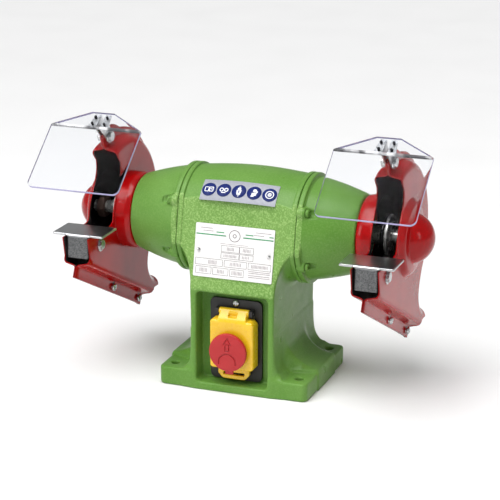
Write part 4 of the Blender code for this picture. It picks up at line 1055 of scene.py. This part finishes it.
class GRINDER_OT_shields(bpy.types.Operator):
    """Clear eye shields and their brackets"""

    bl_idname = "grinder.shields"
    bl_label = "Eye shields"

    def execute(self, context):
        settings = context.scene.grinder_shields
        clear = clear_sheet("clear_polycarbonate", settings.tint)
        rim = printed("polished_sheet_edge", settings.rim, 0.2)
        glint = bent_sheet("bent_sheet_line", settings.tint)
        zinc = brushed("bracket_zinc", (0.78, 0.79, 0.80), 0.34, (200.0, 200.0, 200.0))
        dark = brushed("bracket_screw_black", (0.05, 0.05, 0.055), 0.35, (300.0, 300.0, 300.0))
        for label, side in SIDES:
            x = side * GUARD_X
            pane = add_piece("pane_" + label, pane_surface(x), [clear, rim, glint], "shield_" + label,
                             ["shield_pane_" + label], True, 0.0)
            if face_rows(pane.data, "normal")[:, 2].sum() < 0:
                pane.data.flip_normals()
            # Faces along the fold take the painted highlights and reflections of the bend.
            on_fold = np.abs(face_rows(pane.data, "center")[:, 2] / MM - PANE_FOLD[1]) < FOLD_HALF
            pane.data.polygons.foreach_set("material_index", np.where(on_fold, 2, 0))
            solid = pane.modifiers.new("sheet", "SOLIDIFY")
            solid.thickness = PANE_T * MM
            solid.offset = -1.0
            solid.use_even_offset = True
            solid.material_offset_rim = 1
            bracket = add_piece("bracket_" + label, bracket_shape(x), [zinc], "shield_" + label,
                                ["shield_bracket_" + label])
            add_rounding(bracket, 0.35)
            add_piece("bracket_screws_" + label, bracket_screws(x), [dark], "shield_" + label)
        return {"FINISHED"}


# -------- switch


def lid_field(x, y, z):
    """Hollow lid with sloping sides, hinge hump and knuckle, and a slotted thumb tab below."""
    low, high = cad_box("switch_lid")
    ax = np.abs(x)
    middle_z, half_z, half_x, wall = 56.25, 29.75, 27.0, 2.4
    slope = (y - low[1]) * 0.10 - 1.6
    tall = np.abs(z - middle_z)
    shell = rounded([ax - half_x - slope, tall - half_z - slope, ax + tall - 51.5], 1.6)
    shell = rounded([shell, low[1] - y, y + 54.8], 2.4)
    hollow = rounded([ax - half_x + wall, tall - half_z + wall], 3.0)
    hollow = np.maximum(hollow, low[1] + 2.2 - y)
    slant = (low[1] + 0.9 - y) * 0.74 + (z - 86.0) * 0.68
    hump = rounded([ax - 16.8 + (z - 84.0) * 0.12, z - high[2] + 1.6, 79.0 - z, low[1] + 0.5 - y, slant,
                    y + 56.2], 1.2)
    notch = rounded([ax - 5.0, 87.5 - z, y + 61.8], 1.0)
    hump = smooth_max(hump, -notch, 0.6)
    knuckle = rounded([np.hypot(y - LID_PIVOT[0], z - LID_PIVOT[1]) - 4.0, ax - 17.5], 0.5)
    tab = rounded([ax - 18.5 + np.maximum(20.0 - z, 0.0) * 0.9, low[2] - z, z - 28.0], 2.0)
    tab = rounded([tab, np.abs(y + 60.0) - 2.4], 0.8)
    lid = smooth_min(np.maximum(shell, -hollow), np.maximum(hump, -hollow), 1.2)
    lid = smooth_min(smooth_min(lid, knuckle, 0.8), tab, 1.2)
    lid = np.maximum(lid, -rounded([ax - 12.5, np.abs(z - 20.2) - 1.7], 0.6))
    lid = smooth_max(lid, 1.8 - np.hypot(y - LID_PIVOT[0], z - LID_PIVOT[1]), 0.3)
    pad_low, pad_high = cad_box("stop_pad")
    pad_x, pad_z = (pad_low[0] + pad_high[0]) / 2, (pad_low[2] + pad_high[2]) / 2
    return np.maximum(lid, np.where(y < -64.0, 8.4 - np.hypot(x - pad_x, z - pad_z), -9.0))


def pad_field(x, y, z):
    """Crowned disc on a stem, with an engraved arrow, an engraved finger circle and a lower tab."""
    low, high = cad_box("stop_pad")
    cx, cz, radius = (low[0] + high[0]) / 2, (low[2] + high[2]) / 2, (high[0] - low[0]) / 2
    u, v = x - cx, z - cz
    away = np.hypot(u, v)
    face = low[1] + 0.0018 * away ** 2
    disc_body = rounded([away - radius, face - y, y - low[1] - 5.5], 1.0)
    stem = np.maximum(away - 8.0, np.maximum(low[1] + 3.0 - y, y - high[1]))
    collar = np.maximum(away - 10.5, np.abs(y + 66.8) - 0.8)
    tab = rounded([np.abs(u - 1.5) - 4.6, np.abs(v + radius + 0.5) - 3.2, np.abs(y - low[1] - 3.9) - 1.5],
                  0.5)
    pad = np.minimum(np.minimum(smooth_min(disc_body, tab, 1.0), stem), collar)
    shaft = np.maximum(np.abs(u) - 2.1, np.abs(v - 6.0) - 4.0)
    head = np.maximum(np.abs(u) * 0.86 + (v - 16.6) * 0.5, 9.4 - v)
    arrow = np.abs(np.minimum(shaft, head)) - 0.6
    finger = np.abs(np.hypot(u, v + 11.5) - 10.0) - 0.75
    finger = np.where(v < -14.0, 1.0, finger)
    groove = np.maximum(np.minimum(arrow, finger), y - face - 1.2)
    return smooth_max(pad, -groove, 0.2)


def screw_field(x, y, z):
    """Domed head with a cross recess, made along -Y at the origin; y is 0 under the head."""
    away = np.hypot(x, z)
    head = np.maximum(np.hypot(away, y - 2.2) - 5.1, np.maximum(away - 3.7, y - 0.2))
    cross = np.minimum(np.maximum(np.abs(x) - 0.55, np.abs(z) - 2.3),
                       np.maximum(np.abs(z) - 0.55, np.abs(x) - 2.3))
    cross = np.maximum(cross, y + 1.5)
    shank = np.maximum(away - 2.0, np.maximum(-y - 0.5, y - 12.0))
    return np.minimum(smooth_max(head, -cross, 0.25), shank)


class GRINDER_OT_switch(bpy.types.Operator):
    """Switch plate, buttons, lid and stop pad"""

    bl_idname = "grinder.switch"
    bl_label = "Switch"

    def execute(self, context):
        settings = context.scene.grinder_switch
        black = moulded("black_plate", (0.014, 0.013, 0.013), 0.48, 0.00012)
        grey = moulded("grey_body", (0.10, 0.10, 0.105), 0.45)
        yellow = moulded("yellow_lid", settings.lid, 0.26, 0.00003, 0.3)
        red = moulded("red_pad", settings.pad, 0.42)
        zinc = brushed("switch_zinc", context.scene.grinder_metal.zinc, 0.2, (200.0, 200.0, 200.0))
        refine("switch_plate", "face_plate", black, 0.7, 3)
        refine("switch_body", "switch_block", grey, 0.4)
        paint_node("start_button", moulded("green_button", (0.02, 0.30, 0.07), 0.35))
        paint_node("stop_button", red)
        paint_node("lid_pin", zinc)
        step = 0.55
        low, high = cad_box("switch_lid")
        lid = field_skin(lid_field, low, high, step)
        add_skin("lid", lid, yellow, "lid", "switch_lid")
        low, high = cad_box("stop_pad")
        pad = field_skin(pad_field, low - np.array([0.0, 0.0, PAD_TAB]), high, step * 0.8)
        add_skin("pad", pad, red, "stop_pad", "stop_pad")
        low, high = cad_box("switch_screw")
        screw = field_skin(screw_field, (-4.0, -3.4, -4.0), (4.0, 12.0, 4.0), 0.3)
        spot = ((low[0] + high[0]) / 2, low[1] + 3.0, (low[2] + high[2]) / 2)
        add_skin("plate_screw", placed(screw, spot), zinc, "machine", "switch_screw")
        gland = soften([(52.6, 5.0), (52.6, 7.6), (69.3, 7.6), (69.3, 11.4), (76.0, 11.4), (77.0, 10.2),
                        (84.0, 9.6), (88.0, 6.6), (88.3, 5.0)], 0.8, True, 4)
        points, faces = gather(turned(gland, 60), hexagon(69.4, 75.6, 12.6, 5.0))
        points = np.column_stack([-points[:, 1], points[:, 0], points[:, 2] + GLAND_Z])
        add_piece("gland", (points, faces), [grey], "machine", ["cable_gland"])
        return {"FINISHED"}


# -------- printed plates


def on_leaning_plate(flat, lift):
    """Flat (u, v) points laid on the leaning nameplate, raised off it."""
    low, high = cad_box("nameplate")
    centre = (low + high) / 2
    normal = np.array([0.0, -math.cos(LEAN), math.sin(LEAN)])
    upward = np.array([0.0, math.sin(LEAN), math.cos(LEAN)])
    face = centre + normal * (0.4 + lift)
    return face + flat[:, :1] * np.array([1.0, 0.0, 0.0]) + flat[:, 1:2] * upward


def on_barrel(flat, lift):
    """Flat (u, v) points bent round the crowned barrel: u along X, v along the arc from 134 degrees."""
    u, v = flat[:, 0], flat[:, 1]
    radius = BARREL_R_END + BARREL_CROWN * np.cos(u / BARREL_HALF * np.pi / 2) + 0.75 + lift
    angle = math.radians(134.0) - v / radius
    return np.column_stack([u, radius * np.cos(angle), SPINDLE_Z + radius * np.sin(angle)])


def ink_layer(name, shapes, lay, material, thickness=0.05, lift=0.02):
    """Ink: flat shapes laid on a surface, given a hair's thickness inwards."""
    flat, faces = gather(*shapes)
    piece = add_piece(name, (lay(flat, lift + thickness), faces), [material], "machine", (), True, 0.0)
    _, y, z = face_rows(piece.data, "center").mean(0)
    outward = np.array([0.0, y, max(0.0, z - SPINDLE_Z * MM)])
    if (face_rows(piece.data, "normal") @ outward).sum() < 0:
        piece.data.flip_normals()
    solid = piece.modifiers.new("ink", "SOLIDIFY")
    solid.thickness = thickness * MM
    solid.offset = -1.0


def frame_bars(centre, half_u, half_v, line):
    """Four thin bars round a box."""
    cu, cv = centre
    return [bar((cu, cv + half_v), half_u, line), bar((cu, cv - half_v), half_u, line),
            bar((cu - half_u, cv), line, half_v), bar((cu + half_u, cv), line, half_v)]


def value_bars(centre, half_u, half_v, count):
    """Row of short upright strokes that fills a box in place of figures."""
    cu, cv = centre
    return [bar((place, cv), 0.32, half_v) for place in np.linspace(cu - half_u, cu + half_u, count)]


def sign_shapes(number, u):
    """White part of one round instruction sign: book, goggles, mask, glove or ear pads."""
    if number == 0:
        pages = frame_bars((u - 2.6, 0.0), 2.2, 2.6, 0.42) + frame_bars((u + 2.6, 0.0), 2.2, 2.6, 0.42)
        return pages + [bar((u + 2.6, 0.3), 1.2, 0.35)]
    if number == 1:
        return [disc(2.5, 1.4, (u - 2.7, 0.3)), disc(2.5, 1.4, (u + 2.7, 0.3)), bar((u, 1.2), 1.0, 0.4),
                bar((u, -3.2), 2.6, 0.5)]
    if number == 2:
        sides = [bar((u + lean * 1.5, -1.4), 0.9, 3.0, lean * -0.18) for lean in (-1.0, 1.0)]
        return [disc(2.0, 0.0, (u, 2.9)), *sides]
    if number == 3:
        return [disc(2.2, 0.0, (u + 0.4, 2.6)), bar((u, -1.9), 2.6, 1.6), bar((u + 2.4, 0.0), 0.7, 2.4, -0.5),
                bar((u - 1.4, -4.3), 1.8, 0.6)]
    return [disc(4.9, 3.9, (u, 0.0)), disc(2.2, 1.2, (u, 0.0)), bar((u, 0.0), 0.6, 0.6)]


# Ruled boxes of the nameplate: centre, half sizes, then the strokes' centre, half sizes and number.
PLATE_BOXES = (
    (-4.0, 3.6, 10.5, 3.4, -4.0, 3.6, 1.8, 6),
    (15.0, 3.6, 8.0, 3.4, 15.0, 4.0, 1.8, 6),
    (-4.0, -4.0, 10.5, 3.0, -4.0, 7.0, 1.5, 10),
    (15.0, -4.0, 8.0, 3.0, 14.0, 3.5, 1.5, 5),
    (-28.0, -12.6, 16.0, 3.6, -24.0, 4.5, 2.1, 7),
    (3.0, -12.6, 13.0, 3.6, 3.0, 6.0, 1.9, 8),
    (31.0, -12.6, 13.0, 3.6, 31.0, 9.0, 1.8, 13),
    (-34.0, -22.0, 9.0, 3.8, -34.0, 4.0, 2.1, 6),
    (-14.0, -22.0, 9.0, 3.8, -14.0, 3.4, 2.1, 5),
    (5.0, -22.0, 8.0, 3.8, 5.0, 5.4, 2.1, 8),
)
RULE = 0.2


class GRINDER_OT_plates(bpy.types.Operator):
    """Ruled nameplate and the strip of instruction signs"""

    bl_idname = "grinder.plates"
    bl_label = "Printed plates"

    def execute(self, context):
        metal = printed("plate_lacquer", (0.76, 0.75, 0.74), 0.3)
        film = printed("sign_film", (0.27, 0.28, 0.32), 0.45, 0.1)
        green = printed("green_ink", (0.015, 0.26, 0.09))
        grey = printed("grey_ink", (0.12, 0.10, 0.11))
        pale = printed("pale_ink", (0.28, 0.24, 0.26))
        blue = printed("blue_ink", (0.006, 0.018, 0.14))
        white = printed("white_ink", (0.86, 0.88, 0.90))
        zinc = brushed("rivet_zinc", (0.7, 0.7, 0.7), 0.2, (200.0, 200.0, 200.0))
        refine("nameplate", "data_plate", metal, 0.15)
        paint_node("safety_label", film)
        for label, _ in SIDES:
            paint_node("nameplate_rivet_" + label, zinc)
        lines = [bar((u, v), half, line) for u, v, half, line in (
            (-27.5, 17.6, 17.5, 0.62), (27.5, 17.6, 17.5, 0.62), (-17.0, 21.0, 4.5, 0.55),
            (17.0, 21.0, 4.5, 0.55), (42.5, 21.0, 2.4, 0.55))]
        ink_layer("plate_green_lines", lines, on_leaning_plate, green)
        rules = [disc(6.6, 5.9, (0.0, 18.4)), disc(2.2, 1.5, (0.0, 18.4))]
        strokes = []
        for u, v, half_u, half_v, stroke_u, width, height, count in PLATE_BOXES:
            rules += frame_bars((u, v), half_u, half_v, RULE)
            strokes += value_bars((stroke_u, v), width, height, count)
        ink_layer("plate_grid", rules, on_leaning_plate, grey)
        strokes += [bar((31.0, v), 12.5, 0.3) for v in (-18.2, -20.0, -22.6, -24.6)]
        strokes += [bar((-33.0, 24.6), 7.0, 0.3), bar((33.0, 24.6), 9.0, 0.3), bar((-31.0, 21.6), 6.0, 0.3)]
        strokes += [bar((28.0, 21.6), 6.0, 0.3), bar((0.0, 9.0), 16.0, 0.22)]
        ink_layer("plate_strokes", strokes, on_leaning_plate, pale)
        places = np.linspace(-35.2, 35.2, 5)
        ink_layer("sign_discs", [disc(8.3, 0.0, (u, 0.0), 48) for u in places], on_barrel, blue)
        marks = [shape for number, u in enumerate(places) for shape in sign_shapes(number, u)]
        ink_layer("sign_marks", marks, on_barrel, white, 0.05, 0.08)
        return {"FINISHED"}


# -------- stage

CAMERA_PLACE = (0.694, -1.854, 0.757)
CAMERA_AZIMUTH, CAMERA_ELEVATION = math.radians(20.63), math.radians(17.14)
FLOOR_REACH = 6.0

class GRINDER_OT_stage(bpy.types.Operator):
    """Floor, lights and camera"""

    bl_idname = "grinder.stage"
    bl_label = "Stage"

    def execute(self, context):
        settings = context.scene.grinder_stage
        surface = Surface("pale_floor", settings.floor, 0.7)
        surface.gloss(surface.noise(8.0), 0.3, 0.7, 0.62, 0.78)
        mesh = bpy.data.meshes.new("floor")
        corners = [(u * FLOOR_REACH, v * FLOOR_REACH, 0) for u, v in ((-1, -1), (1, -1), (1, 1), (-1, 1))]
        mesh.from_pydata(corners, [], [(0, 1, 2, 3)])
        mesh.materials.append(surface.material)
        floor = bpy.data.objects.new("floor", mesh)
        floor.location.z = -0.0002
        context.scene.collection.objects.link(floor)
        world = bpy.data.worlds.new("studio")
        world.use_nodes = True
        sky = world.node_tree.nodes["Background"]
        sky.inputs["Color"].default_value = (1.0, 1.0, 1.0, 1.0)
        sky.inputs["Strength"].default_value = 0.30
        context.scene.world = world
        context.scene.view_settings.view_transform = "Standard"
        context.scene.view_settings.look = "None"
        self.add_light("overhead_box", (0.1, -0.5, 1.7), (0.0, 0.0, 0.15), settings.key, (1.2, 0.8))
        self.add_light("left_box", (-1.2, -1.6, 0.9), (0.0, 0.0, 0.15), settings.key * 0.8, (0.6, 1.0))
        self.add_light("right_box", (1.7, -0.7, 0.8), (0.1, 0.0, 0.18), settings.key * 0.25, (0.3, 0.8))
        sun = bpy.data.lights.new("even_fill", "SUN")
        sun.energy = settings.fill
        sun.angle = math.radians(50.0)
        fill = bpy.data.objects.new("even_fill", sun)
        fill.rotation_euler = (math.radians(22.0), math.radians(-14.0), 0.0)
        context.scene.collection.objects.link(fill)
        camera = bpy.data.cameras.new("camera")
        camera.lens = settings.lens
        camera.sensor_width = 36.0
        viewer = bpy.data.objects.new("camera", camera)
        viewer.location = CAMERA_PLACE
        viewer.rotation_euler = (math.pi / 2 - CAMERA_ELEVATION, 0.0, CAMERA_AZIMUTH)
        context.scene.collection.objects.link(viewer)
        context.scene.camera = viewer
        return {"FINISHED"}

    @staticmethod
    def add_light(name, place, target, power, size):
        light = bpy.data.lights.new(name, "AREA")
        light.shape = "RECTANGLE"
        light.size, light.size_y = size
        light.energy = power
        obj = bpy.data.objects.new(name, light)
        obj.location = place
        direction = Vector(target) - Vector(place)
        obj.rotation_euler = direction.to_track_quat("-Z", "Y").to_euler()
        bpy.context.scene.collection.objects.link(obj)


# -------- panel and registration

OPERATORS = (GRINDER_OT_stage, GRINDER_OT_casting, GRINDER_OT_guards, GRINDER_OT_metalwork, GRINDER_OT_rests,
             GRINDER_OT_shields, GRINDER_OT_switch, GRINDER_OT_plates)


class GRINDER_PT_panel(bpy.types.Panel):
    """Lists the grinder's operators"""

    bl_idname = "GRINDER_PT_panel"
    bl_label = "Bench grinder"
    bl_space_type = "VIEW_3D"
    bl_region_type = "UI"
    bl_category = "Grinder"

    def draw(self, context):
        for operator in OPERATORS:
            self.layout.operator(operator.bl_idname)


def register():
    for name, group in SETTINGS.items():
        bpy.utils.register_class(group)
        setattr(bpy.types.Scene, name, PointerProperty(type=group))
    for cls in (*OPERATORS, GRINDER_PT_panel):
        bpy.utils.register_class(cls)


def unregister():
    for cls in reversed((*OPERATORS, GRINDER_PT_panel)):
        bpy.utils.unregister_class(cls)
    for name, group in SETTINGS.items():
        delattr(bpy.types.Scene, name)
        bpy.utils.unregister_class(group)


def main():
    register()
    for operator in OPERATORS:
        getattr(bpy.ops.grinder, operator.bl_idname.split(".")[1])()


if __name__ == "__main__":
    main()
